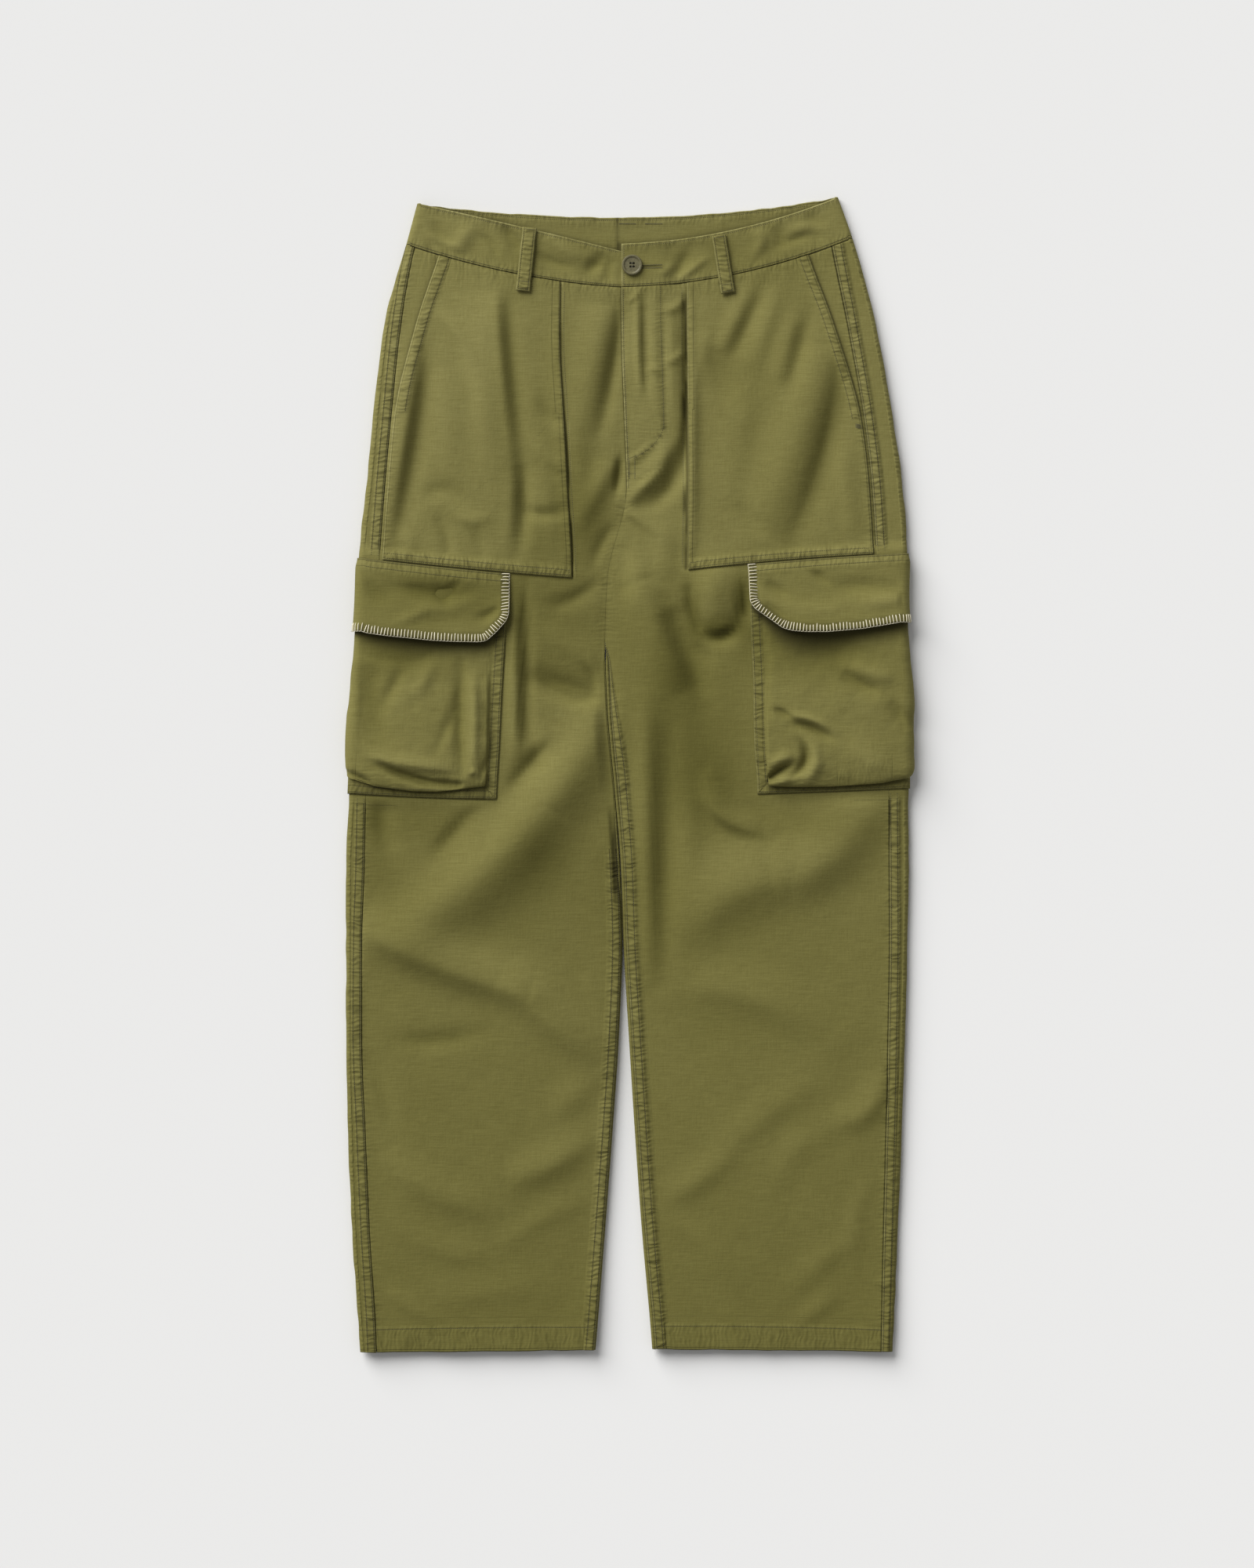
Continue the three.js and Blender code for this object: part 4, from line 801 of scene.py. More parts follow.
    # the tone field's painted light and shade scales the colour, the blue more strongly
    level = n.math("ADD", n.field("tone"), 1.0)
    grey = n.add("ShaderNodeCombineColor", Red=level, Green=level, Blue=n.math("POWER", level, 1.6))
    colour = n.mix(1.0, colour, grey.outputs["Color"], "MULTIPLY")
    n.put(shader.inputs["Base Color"], colour)
    shader.inputs["Sheen Weight"].default_value = 0.12
    shader.inputs["Sheen Roughness"].default_value = 0.45
    shader.inputs["Sheen Tint"].default_value = linear(190, 184, 130)
    shader.inputs["Specular IOR Level"].default_value = 0.22
    bump_node = n.add("ShaderNodeBump", Height=yarns)
    bump_node.inputs["Strength"].default_value = 0.55
    bump_node.inputs["Distance"].default_value = 0.00035
    rumples = n.add("ShaderNodeBump", Height=n.noise(place, 42, 3, 0.5, 0.8), Normal=bump_node.outputs["Normal"])
    rumples.inputs["Strength"].default_value = 0.16
    rumples.inputs["Distance"].default_value = 0.003
    creases = n.add("ShaderNodeBump", Height=n.noise(place, 210, 4, 0.55), Normal=rumples.outputs["Normal"])
    creases.inputs["Strength"].default_value = 0.25
    creases.inputs["Distance"].default_value = 0.0009
    seams = n.total((puckers, 1.5), (rows, -0.4), (n.line(felled, -0.1, 1.1), -0.45), (n.line(edge, 0.0, 0.8), -0.4),
                    (n.line(felled, 5.0, 4.6), 0.25))
    sewn = n.add("ShaderNodeBump", Height=seams, Normal=creases.outputs["Normal"])
    sewn.inputs["Strength"].default_value = 1.0
    sewn.inputs["Distance"].default_value = 0.001
    n.put(shader.inputs["Normal"], sewn.outputs["Normal"])
    return material


def thread_material(name, colour, dark):
    """Spun thread with a twist and a little colour change along it."""
    material, tree, shader = node_tree(name, 0.75)
    n = Nodes(tree)
    place = tree.nodes.new("ShaderNodeTexCoord").outputs["Object"]
    twist = n.noise(n.stretch(place, 1.0, 1.0, 1.0), 1700, 2, 0.6)
    tint = n.noise(place, 190, 2, 0.5)
    blend = n.math("ADD", n.math("MULTIPLY", twist, 0.6), n.math("MULTIPLY", tint, 0.4))
    n.put(shader.inputs["Base Color"], n.mix(n.ramp(blend, 0.35, 0.65), dark, colour))
    bump_node = n.add("ShaderNodeBump", Height=twist)
    bump_node.inputs["Strength"].default_value = 0.5
    bump_node.inputs["Distance"].default_value = 0.0002
    n.put(shader.inputs["Normal"], bump_node.outputs["Normal"])
    shader.inputs["Sheen Weight"].default_value = 0.2
    return material


def button_material():
    """Matt moulded resin with a faint swirl."""
    material, tree, shader = node_tree("button_resin", 0.48)
    n = Nodes(tree)
    place = tree.nodes.new("ShaderNodeTexCoord").outputs["Object"]
    swirl = n.noise(place, 260, 4, 0.6, 1.2)
    n.put(shader.inputs["Base Color"], n.mix(n.ramp(swirl, 0.35, 0.65), linear(84, 79, 52), linear(106, 101, 70)))
    bump_node = n.add("ShaderNodeBump", Height=n.noise(place, 900, 3, 0.6))
    bump_node.inputs["Strength"].default_value = 0.12
    bump_node.inputs["Distance"].default_value = 0.0002
    n.put(shader.inputs["Normal"], bump_node.outputs["Normal"])
    return material


canvas = canvas_material()
olive_thread = thread_material("olive_thread", linear(92, 87, 42), linear(56, 52, 22))
# the button's thread is nearly black, painted shade standing in for the shade in the button's holes
button_thread = thread_material("button_thread", linear(40, 36, 18), linear(22, 19, 9))
cream_thread = thread_material("cream_thread", linear(232, 226, 202), linear(190, 182, 150))


# Panels
def front_columns(side, s):
    """x of every line down the front panel, for each row (rows, columns)."""
    section = side.at(s)
    toward = side.to_centre
    inseam = section.centre - toward * (side.inset(s) + CLEAR)
    band = inseam - toward * SEAM_WIDTH
    stops = [section.seam + toward * CLEAR, section.opening, side.cargo_edge(s) + toward, section.pocket, band, inseam]
    counts = [(8, "both"), (27, "both"), (12, "end"), (17, "both"), (11, "even")]
    out = [stops[0][:, None]]
    for (a, b), (count, kind) in zip(zip(stops[:-1], stops[1:]), counts):
        t = np.linspace(0, 1, count + 1)[1:]
        if kind == "both":
            t = lerp(t, smooth(0, 1, t), 0.55)
        if kind == "end":
            t = 1 - (1 - t) ** 1.5
        out.append(a[:, None] + (b - a)[:, None] * t)
    return np.concatenate(out, 1)


# The stitched line that turns in at the foot of the fly.
J_STITCH = path((842.6, 365), (842.6, 413), (845, 465), (846.5, 518), (846.8, 544), (844, 553), (839, 560.5),
                (830, 571), (820, 578), (808, 585))


def panel_relief(side, s, x):
    """Height added to the front panel by its seams, and the fields for its material."""
    section = side.at(s)
    y = side.front_y(section, x)
    toward = side.to_centre
    seed = side.pick(11, 31)
    share, (_, bag) = side.share(s), side.layers_under(s)
    open_seam = 1 - bag
    beyond = side.sign * (section.seam - x)
    rise = beside_seam(beyond, -y, seed) * open_seam
    felled = np.where(bag > 0.5, AWAY, np.where(beyond > 30, -FAR, -beyond))
    gather = 0.55 * np.exp(-np.maximum(beyond, 0) / 4) * open_seam
    inseam = section.centre - toward * side.inset(s)
    band = side.band_share(s)
    inward = side.to_centre * (inseam - x)
    if side.name == "left":
        inward = inward / np.maximum(band, 0.15)
    rise = rise + band * share * felled_band(inward, -y, seed + 5)
    felled = np.where((inward < 34) & (share * band > 0.02), np.where(inward < 20, inward, FAR), felled)
    gather = np.maximum(gather, 1.0 * band * share * plateau(inward, 0, 11, 2))
    shade = 0 * x
    if side.name == "right":
        # the inner edge dips away where the legs part, with painted shadow in the gap
        parting = plateau(s, 36, 104, 12) * (1 - smooth(3, 7.5, inward))
        rise = rise - 2.2 * parting
        shade = shade - 0.95 * plateau(s, 42, 112, 16) * (1 - smooth(4.5, 7.5, inward + 3.5 * smooth(70, 40, s)))
    # the crotch seam below the fly and the fly's edge, with painted shade along the seam, beside the fly's edge and in
    # the J-stitch's groove, and a lighter worn line along the fly's edge
    across = np.abs(x - section.centre)
    fly = 1 - smooth(*FLY_END, s)
    below_fly = smooth(*FLY_END, s) * (1 - share) * (0.75 + 0.5 * noise1(-y / 17, 37))
    rise = rise - below_fly * 0.35 * bump(across, 3.0)
    shade = shade - below_fly * (0.12 * bump(across, 1.0) + side.pick(0.1, 0) * bump(across, 6))
    gather = np.maximum(gather, 0.4 * below_fly * bump(across, 9))
    edge = AWAY + 0 * x
    if side.name == "right":
        shade = shade - 0.5 * fly * np.exp(-across / 1.1)
    else:
        rise = rise + FLY_RAISE * fly * (1 - smooth(FLY_WIDTH - 2, FLY_WIDTH + 2, across))
        edge = np.where(fly > 0.5, across, edge)
        stitch = j_stitch_distance(x, y)
        rise = rise - 0.5 * bump(stitch, 1.6)
        shade = shade - (0.45 + 0.4 * smooth(-326, -300, s)) * bump(stitch, 1.0) + 0.3 * fly * bump(across - 1.4, 0.8)
        gather = np.maximum(gather, 0.42 * fly * np.maximum(bump(stitch, 4.5), bump(across, 3.5)))
        gather = np.maximum(gather, 0.12 * fly * plateau(across, 0, FLY_WIDTH, 4))
    hem_up = side.level["hem"] - s + 0 * x
    rise = rise + hem_relief(side, s, x)
    hem_gather = plateau(hem_up, 0.5, HEM_DEPTH + 2, 3)
    gather = np.where(hem_gather > 0.3, np.where(inward < 10, gather, -0.42 * hem_gather), gather)
    edge = np.where(hem_up < 30, hem_up, edge)
    # painted shade in the hem's row of stitches, with a painted highlight on the cloth just above it
    shade = shade - 0.3 * bump(hem_up - HEM_DEPTH, 0.7) + 0.2 * bump(hem_up - HEM_DEPTH - 1.5, 0.8)
    row = np.where(hem_up < 30, HEM_DEPTH, NO_ROW)
    # gathers below the waist seam, with painted shade along the seam and a painted shadow beside the pocket's mouth
    down = s - side.level["waist seam"] + 0 * x
    waves = ladder(x * 1.1, seed + 9, 13)
    rise = rise + 0.35 * waves * np.exp(-np.maximum(down, 0) / 9) - 0.4 * bump(down, 1.4)
    shade = shade - 0.12 * bump(down, 1.0)
    gather = np.where((down < 22) & (beyond > 9), -0.7 * np.exp(-np.maximum(down, 0) / 8), gather)
    mouth = (1 - smooth(side.level["mouth end"] - 8, side.level["mouth end"], s)) * smooth(-2, 4, down)
    off_mouth = side.sign * (x - section.opening)
    shade = shade - 0.75 * mouth * smooth(-6, -3, off_mouth) * np.exp(-np.maximum(off_mouth, 0) / 1.6)
    # the pleat beside the patch pocket's inner edge: painted shade in its groove and a painted highlight on its folded
    # edge
    on_hip = 1 - smooth(-176, -172, s)
    wide = POCKET_GROOVE[side.name] * (0.85 + 0.5 * noise1(-y / 30, seed + 14))
    out = toward * (x - section.pocket)
    groove = on_hip * plateau(out, 0.1, wide, 0.5) * smooth(side.level["waist seam"], side.level["waist seam"] + 20, s)
    rise = rise - 1.3 * groove + 0.35 * on_hip * bump(out - wide - 1.6, 1.4)
    shade = shade - 0.9 * groove + 0.35 * on_hip * bump(out - wide - 1.0, 0.9)
    return rise, {"shade": shade, "felled": felled, "edge": edge, "row": row, "gather": gather}


def line_distance(line, x, y):
    best = np.full(np.shape(x), 1e9)
    for (ax, ay), (bx, by) in zip(line[:-1], line[1:]):
        ex, ey = bx - ax, by - ay
        t = np.clip(((x - ax) * ex + (y - ay) * ey) / max(ex * ex + ey * ey, 1e-9), 0, 1)
        best = np.minimum(best, np.hypot(x - ax - ex * t, y - ay - ey * t))
    return best


def j_stitch_distance(x, y):
    return line_distance(J_STITCH, x, y)


def fold_painted_shading(side, s, x, y):
    """Painted light and shade of the folds: slopes facing away from the light are darker, slopes facing it a little
    lighter, ridges a little lighter and troughs a little darker.
    """
    height = fold_height(x, y)
    slope = (fold_height(x - 1.2, y + 1.6) - height) / 2
    tone = 0.010 * np.clip(height, -5, 4) - 0.42 * np.clip(slope, -0.1, 0.5)
    return tone * smooth(*BELOW_BAND, y) * (1 - side.under_cargo(s, x))


def stack(x, y, z):
    return np.stack(np.broadcast_arrays(x, y, z), -1)


def front_panel(side):
    s = side.leg_rows(3.1)
    x = front_columns(side, s)
    s = s[:, None]
    rise, fields = panel_relief(side, s, x)
    y = side.front_y(side.at(s), x)
    hem = smooth(24, 0, side.level["hem"] - s)
    grid = stack(x, y + 0.5 * hem * noise1(x / 15, 77), side.front_z(s, x) + rise + 0.5 * hem * noise1(x / 21, 78))
    under = grid - np.array([0, 0, CLOTH])
    fields["tone"] = fold_painted_shading(side, s, x, y)
    obj = shell(f"front_panel_{side.name}", grid, under=under, **fields)
    crisp_end(obj, grid.shape, (s[:, 0] > -248) & (s[:, 0] < -100))
    return obj


def back_panel(side):
    """From the side seam on the front round the outline, under the leg and up to the inseam."""
    s = side.leg_rows(3.4)[:, None]
    section = side.at(s)
    toward, seed = side.to_centre, side.pick(21, 41)
    share, (_, bag) = side.share(s), side.layers_under(s)
    top_x = side.top_of_roll(section)
    ditch = section.seam - toward * CLEAR
    t = np.linspace(0, 1, 15)[None]
    x = lerp(ditch, top_x, t)
    beyond = side.to_centre * (ditch - x)
    y = side.front_y(section, x)
    width = np.minimum(SEAM_WIDTH, np.abs(top_x - ditch) - 0.6)
    rise = felled_band(beyond, -y, seed, width) * (1 - bag) + hem_relief(side, s, x)
    parts = [stack(x, y, side.front_z(s, x, 0) + rise)]
    felled = [np.where(bag > 0.5, AWAY, beyond)]
    gather = [0.9 * plateau(beyond, 0, 9.5, 2) * (1 - bag)]
    angle = np.radians(np.linspace(0, 180, 17))[None, 1:]
    x = section.edge - side.sign * section.roll * (1 - np.sin(angle))
    lift = side.lift(s, section.edge, section)
    z = side.floor(s, 0) + section.roll * (1 + np.cos(angle)) + lift
    edge_wave = 0.35 * noise1(-side.front_y(section, section.edge) / 14, seed + 7) * np.sin(angle)
    parts.append(stack(x + side.sign * edge_wave, side.front_y(section, section.edge), z))
    felled.append(np.where(bag > 0.5, AWAY, np.abs(top_x - ditch) + side.to_centre * (top_x - x)))
    gather.append(0.7 * (1 - bag) * bump(angle, 1.1))
    quick = smooth(0, 0.5, share)
    radius = np.maximum(0.05, quick * section.z_centre / 2)
    back_end = lerp(section.back, section.centre, share) - toward * (radius + lerp(0.03, GAP / 2, smooth(20, 60, s)))
    flat_end = back_end - toward * 8 * (1 - share)
    pocket_line = section.edge + toward * (CARGO_BACK + 3)
    ramp_line = pocket_line + toward * BACK_RAMP
    for a, b, count in ((top_x, pocket_line, 10), (pocket_line, ramp_line, 4),
                        (ramp_line, flat_end, 9)):
        x = lerp(a, b, np.linspace(0, 1, count + 1)[None, 1:])
        z = side.floor(s, np.abs(x - section.edge)) + side.lift(s, x, section)
        parts.append(stack(x, side.back_y(section, x), z))
        felled.append(AWAY + 0 * x)
        gather.append(0 * x)
    inset = np.maximum(side.inset(s) - GAP / 2, 0.3)
    power = side.squareness(s)
    reach = math.pi - np.arcsin(np.clip((radius - inset) / radius, 0, 1) ** (power / 2))
    turn = quick * reach
    u = np.linspace(0, 1, 17)[None, 1:]
    sine, cosine = np.sin(turn * u), np.cos(turn * u)
    x = back_end - toward * 8 * (1 - share) * (1 - u) + toward * radius * np.maximum(sine, 0) ** (2 / power)
    section_y = side.back_y(section, x)
    z = (side.floor(s, np.abs(x - section.edge)) + side.lift(s, x, section)
         + radius * (1 - np.sign(cosine) * np.abs(cosine) ** (2 / power)))
    waves = ladder(-section_y, seed + 9, 11)
    z = z + 0.2 * share * waves * u ** 4
    parts.append(stack(x, section_y, z))
    felled.append(np.where((share > 0.3) & (u > 0.5), -8 * (1 - u), AWAY + 0 * u))
    gather.append(0.5 * share * u ** 4)
    grid = np.concatenate(parts, 1)
    count = len(s)
    felled, gather = (np.concatenate([np.broadcast_to(c, (count, c.shape[1])) for c in field], 1)
                      for field in (felled, gather))
    up = side.level["hem"] - s + 0 * gather
    hem = smooth(24, 0, up)
    grid[..., 1] += 0.5 * hem * noise1(grid[..., 0] / 15, 79)
    return shell(f"back_panel_{side.name}", grid, felled=felled, gather=gather, edge=np.where(up < 30, up, AWAY),
                 row=np.where(up < 30, HEM_DEPTH, NO_ROW))


BUTTONHOLE = path((819, 340.5), (845, 340))
# Creases of the waistband, as for the front.
BAND_FOLDS = [
    (640, 288, 652, 300, 664, 322, 7, 9, -1.3), (604, 286, 590, 306, 582, 322, 10, 10, 0.9),
    (555, 280, 560, 300, 574, 316, 12, 10, -0.8), (760, 330, 754, 340, 750, 350, 7, 7, -0.9),
    (700, 300, 720, 318, 742, 330, 10, 9, 0.8), (880, 320, 870, 336, 862, 350, 7, 7, -0.9),
    (962, 296, 972, 308, 960, 328, 6, 8, 0.9), (986, 292, 996, 304, 990, 318, 7, 7, -0.8),
    (1030, 272, 1040, 288, 1046, 306, 10, 10, -0.7), (1010, 296, 1030, 290, 1060, 296, 8, 8, 0.7),
    (846, 352, 852, 344, 864, 338, 6, 6, 0.7), (780, 330, 776, 345, 776, 360, 5, 5, -0.8),
    (772, 322, 764, 334, 758, 346, 9, 7, -0.9), (862, 358, 882, 344, 902, 328, 4, 5, 0.8),
    (548, 296, 560, 306, 590, 318, 5, 6, 0.7), (612, 300, 628, 312, 634, 330, 5, 5, -0.7),
    (686, 322, 706, 334, 730, 340, 5, 6, -0.7), (1000, 312, 1016, 304, 1034, 300, 5, 6, -0.7),
]


def waistband(side):
    top, seam = side.level["waist top"], side.level["waist seam"]
    toward, seed = side.to_centre, side.pick(51, 61)
    t = lerp(np.linspace(0, 1, 25), smooth(0, 1, np.linspace(0, 1, 25)), 0.6)
    s = lerp(top, seam, t)[:, None]
    section = side.at(s)
    end = section.centre - toward * CLEAR
    top_x = side.top_of_roll(section)
    fronts = []
    if side.name == "right":
        fronts.append(lerp(end + OVERLAP, end, np.linspace(0, 1, 8)[None, :-1]))
        fronts.append(lerp(end, top_x, np.linspace(0, 1, 66)[None]))
    else:
        fronts.append(lerp(end, top_x, np.linspace(0, 1, 68)[None] ** 1.15))
    x = np.concatenate(fronts, 1)
    y = side.front_y(section, x)
    down = BAND_HEIGHT * (s - top) / (seam - top)
    up = BAND_HEIGHT - down
    a, b = ladder(x, seed, 10), ladder(x, seed + 3, 9)
    rise = 0.30 * a * bump(down, 7) + 0.26 * b * bump(up, 6)
    rise = rise + 3.1 * fold_sum(BAND_FOLDS, x, y) + 0.6 * noise2(x / 24, y / 18,
                                                                  seed) * smooth(0, 8, down) * smooth(0, 8, up)
    rise = rise - 0.5 * bump(down, 1.2) - 0.45 * bump(up, 1.3)
    shade = 0 * x
    from_end = np.abs(x - end)
    edge = np.minimum(down, up) + 0 * x
    gather = -0.62 * np.maximum(bump(down, 7), bump(up, 7)) + 0 * x
    # painted shade in the buttonhole, a lighter worn edge at the left band's end, and a painted shadow on the right
    # band beside it
    if side.name == "left":
        rise = rise - 0.4 * bump(from_end, 1.2)
        edge = np.minimum(edge, from_end)
        shade = shade - 0.95 * bump(line_distance(BUTTONHOLE, x, y), 1.3) + 0.55 * bump(from_end - 1.0, 0.9)
        rise = rise - 0.3 * bump(line_distance(BUTTONHOLE, x, y), 1.2)
    else:
        shade = shade - 0.6 * np.exp(-from_end / 1.3) * (x < end)
    parts = [stack(x, y, side.base(s, x) + BAND_RAISE + rise)]
    # painted light and shade: the band's crease ridges lighter, its troughs darker
    tone = [0.11 * fold_sum(BAND_FOLDS, x, y)]
    angle = np.radians(np.linspace(0, 180, 15))[None, 1:]
    raise_ = BAND_RAISE * np.maximum(0, 1 - np.degrees(angle) / 135)
    x = section.edge - side.sign * (section.roll - (section.roll + raise_) * np.sin(angle))
    z = section.roll + (section.roll + raise_) * np.cos(angle)
    parts.append(stack(x, side.front_y(section, section.edge), z))
    rest = 14 + 55
    shade = np.concatenate([shade, np.zeros((len(s), rest))], 1)
    edge = np.concatenate([edge, np.minimum(down, up) + np.zeros((len(s), rest))], 1)
    gather = np.concatenate([gather, -0.5 * bump(np.minimum(down, up), 7) + np.zeros((len(s), rest))], 1)
    x = lerp(top_x, section.back, np.linspace(0, 1, 56)[None, 1:])
    y = side.back_y(section, x)
    parts.append(stack(x, y + 0.5 * noise1(x / 9, seed + 12) * bump(down, 5), 0 * x))
    grid = np.concatenate(parts, 1)
    tone = np.concatenate(tone + [np.zeros((len(s), rest))], 1)
    obj = shell(f"waistband_{side.name}", grid, thickness=CLOTH + BAND_RAISE, shade=shade, edge=edge, gather=gather,
                tone=tone)
    # the inner face of the back shows over the front's top edge
    count = 55
    rows, cols, _ = grid.shape
    crisp_end(obj, grid.shape, True)
    waves = ladder(grid[:, -count:, 0], seed + 20, 9)
    over_front = grid[:, -count:, 1] - side.front_y(side.at(top + 0 * waves), grid[:, -count:, 0])
    # painted shadow on the inner face just above the front's top edge, painted shade along the centre-back seam, and a
    # little painted shade over the whole inner face
    front_edge_shadow = 0.6 * np.exp(-(np.maximum(over_front, 0) / 2.6) ** 2)
    for key, inside in (("edge", down + 0 * waves), ("row", NO_ROW + 0 * waves),
                        ("gather", -0.55 * bump(down - 3, 5) + 0 * waves),
                        ("shade", -0.04 - front_edge_shadow - 0.45 * bump(grid[:, -count:, 0] - grid[:, -1:, 0], 0.9))):
        attribute = obj.data.attributes[key]
        values = np.zeros(len(obj.data.vertices), np.float32)
        attribute.data.foreach_get("value", values)
        values[rows * cols:].reshape(rows, cols)[:, -count:] = inside
        attribute.data.foreach_set("value", values)
    co = np.zeros(len(values) * 3, np.float32)
    obj.data.vertices.foreach_get("co", co)
    co = co.reshape(-1, 3)
    lifted = co[rows * cols:].reshape(rows, cols, 3)
    level = smooth(0, 12, np.abs(grid[:, -count:, 0] - grid[:, -1:, 0]))
    lifted[:, -count:, 2] += MM * 0.3 * (1 - level) + MM * level * (0.35 * waves * bump(down - 3, 6) + 0.4
                                                                    * noise2(grid[:, -count:, 0] / 20, down / 12, seed)
                                   - 0.3 * bump(down - 2.6, 0.8) + 0.3)
    co[rows * cols:] = lifted.reshape(-1, 3)
    obj.data.vertices.foreach_set("co", co.ravel())
    inner_points = [Vector(p) for p in lifted.reshape(-1, 3)]
    index = np.arange(rows * cols).reshape(rows, cols)
    quads = np.stack([index[:-1, :-1], index[:-1, 1:], index[1:, 1:], index[1:, :-1]], -1).reshape(-1, 4)
    trees[f"waistband_{side.name}_inside"] = BVHTree.FromPolygons(inner_points, quads.tolist())
    return obj


def patch_pocket(side):
    levels = side.level
    seed = side.pick(91, 101)
    s = spread([levels["waist seam"] + GAP, levels["mouth end"], levels["patch hem"]], 0.8, 2.8, 0.12)[:, None]
    section = side.at(s)
    t = np.linspace(0, 1, 62)[None]
    t = lerp(t, smooth(0, 1, t), 0.55)
    x = lerp(section.opening, section.pocket, t)
    y = side.front_y(section, x)
    z = side.front_z(s, x) + LAYER
    from_mouth = np.abs(x - section.opening)
    from_inner = np.abs(x - section.pocket)
    up = levels["patch hem"] - s
    down = s - levels["waist seam"]
    mouth = 1 - smooth(levels["mouth end"] - 4, levels["mouth end"] + 2, s)
    waves = ladder(-y + 0.4 * from_mouth, seed, 12)
    facing = FACING[side.name]
    rise = mouth * (0.55 * plateau(from_mouth, 0.6, facing, 1) + 0.9 * bump(from_mouth - 4, 6) * bump(down - 60, 55)
                    + 0.3 * waves * plateau(from_mouth, 1.5, facing, 2)) - 0.3 * bump(from_mouth, 1)
    free = smooth(levels["waist seam"] + 8, levels["waist seam"] + 60, s) * (1 - smooth(levels["patch hem"] - 26,
                                                                                        levels["patch hem"] - 6, s))
    edge_noise = 0.8 + 0.3 * noise1(-y / 23, seed + 6)
    rise = rise + free * 1.5 * edge_noise * bump(from_inner, 8) - 0.4 * bump(from_inner, 0.9)
    hem_waves = ladder(x + 0.3 * up, seed + 8, 12)
    rise = rise + 0.5 * smooth(8.5, 6.5, up) - 0.45 * bump(up, 1) + 0.3 * hem_waves * plateau(up, 1.5, 9, 3)
    top_waves = ladder(x, seed + 11, 13)
    rise = rise - 0.5 * bump(down, 1.8) + 0.35 * top_waves * np.exp(-np.maximum(down, 0) / 9)
    # painted shade along the top seam and beside the raised inner edge
    shade = -0.32 * bump(down, 0.9) - 0.18 * plateau(from_inner, 2, 8, 2) * side.pick(0.3, 1)
    up, down = up + 0 * x, down + 0 * x
    edge = np.minimum(np.where(mouth > 0.5, from_mouth, from_mouth + 0.2), up)
    edge = np.where(from_inner < edge, from_inner + 2.6 * (from_inner > 1.2), edge)
    row = np.where(up < from_mouth, 6.7, np.where(mouth > 0.5, facing, NO_ROW))
    gather = np.where(from_mouth < up, mouth * 0.8 * plateau(from_mouth, 0.5, facing + 1, 3)
                      + (1 - mouth) * 0.5 * bump(from_mouth, 6), -0.85 * plateau(up, 0, 9, 4))
    gather = np.where((down < 20) & (from_mouth > 12), -0.7 * np.exp(-np.maximum(down, 0) / 8), gather)
    gather = np.where((from_inner < 9) & (up > 12) & (down > 20), 0.45 * bump(from_inner, 6), gather)
    grid = stack(x, y, z + rise)
    under = stack(x, y, z - CLOTH + 0.85 * rise * (rise > 0))
    return shell(f"patch_pocket_{side.name}", grid, under=under, shade=shade, edge=edge, row=row, gather=gather,
                 tone=fold_painted_shading(side, s, x, y))


def wrap_point(side, s, q, raise_, folds=0.0):
    """A point on the leg's outside. q is below zero on the front, in millimetres in from the roll, then runs
    round the roll as an angle from 0 to pi, then across the back."""
    section = side.at(s)
    toward = side.to_centre
    top_x = side.top_of_roll(section)
    on_front, on_back = q < 0, q > math.pi
    x_front = top_x - toward * q
    front = stack(x_front, side.front_y(section, x_front), side.front_z(s, x_front, folds) + raise_)
    angle = np.clip(q, 0, math.pi)
    lift = side.lift(s, section.edge, section)
    arc = stack(section.edge - side.sign * (section.roll - (section.roll + raise_) * np.sin(angle)),
                side.front_y(section, section.edge),
                side.floor(s, 0) + section.roll + (section.roll + raise_) * np.cos(angle) + lift)
    x_back = top_x + toward * (q - math.pi)
    back = stack(x_back, side.back_y(section, x_back),
                 np.maximum(side.floor(s, np.abs(x_back - section.edge)) - raise_, 0))
    return np.where(on_front[..., None], front, np.where(on_back[..., None], back, arc))


# The flap's free edge, from its inner top corner round the cut corner to the outline.
FLAP = {
    "right": {
        "inner": [(649.5, 735), (650, 765), (648.6, 783)],
        "bottom": [(648.6, 783), (645.5, 792), (634, 805), (621, 817), (612, 818.5), (578, 818), (551, 816.5),
                   (517, 813), (493, 810.5), (468.5, 807), (450, 803.5)],
    },
    "left": {
        "inner": [(955, 725), (955.4, 745), (957.5, 767)],
        "bottom": [(957.5, 767), (963, 776), (972, 782), (985, 791), (998, 800.5), (1010, 804), (1027, 805.5),
                   (1056, 805.5), (1100, 801.5), (1136, 795.5), (1163, 790.5)],
    },
}
FLAP_SHADE = {
    "right": [(450, 810), (480, 822), (520, 832), (570, 834), (612, 834), (634, 818), (649, 796)],
    "left": [(957.5, 776), (972, 794), (992, 818), (1015, 834), (1040, 836), (1075, 826), (1110, 820), (1140, 812),
             (1163, 800)],
}
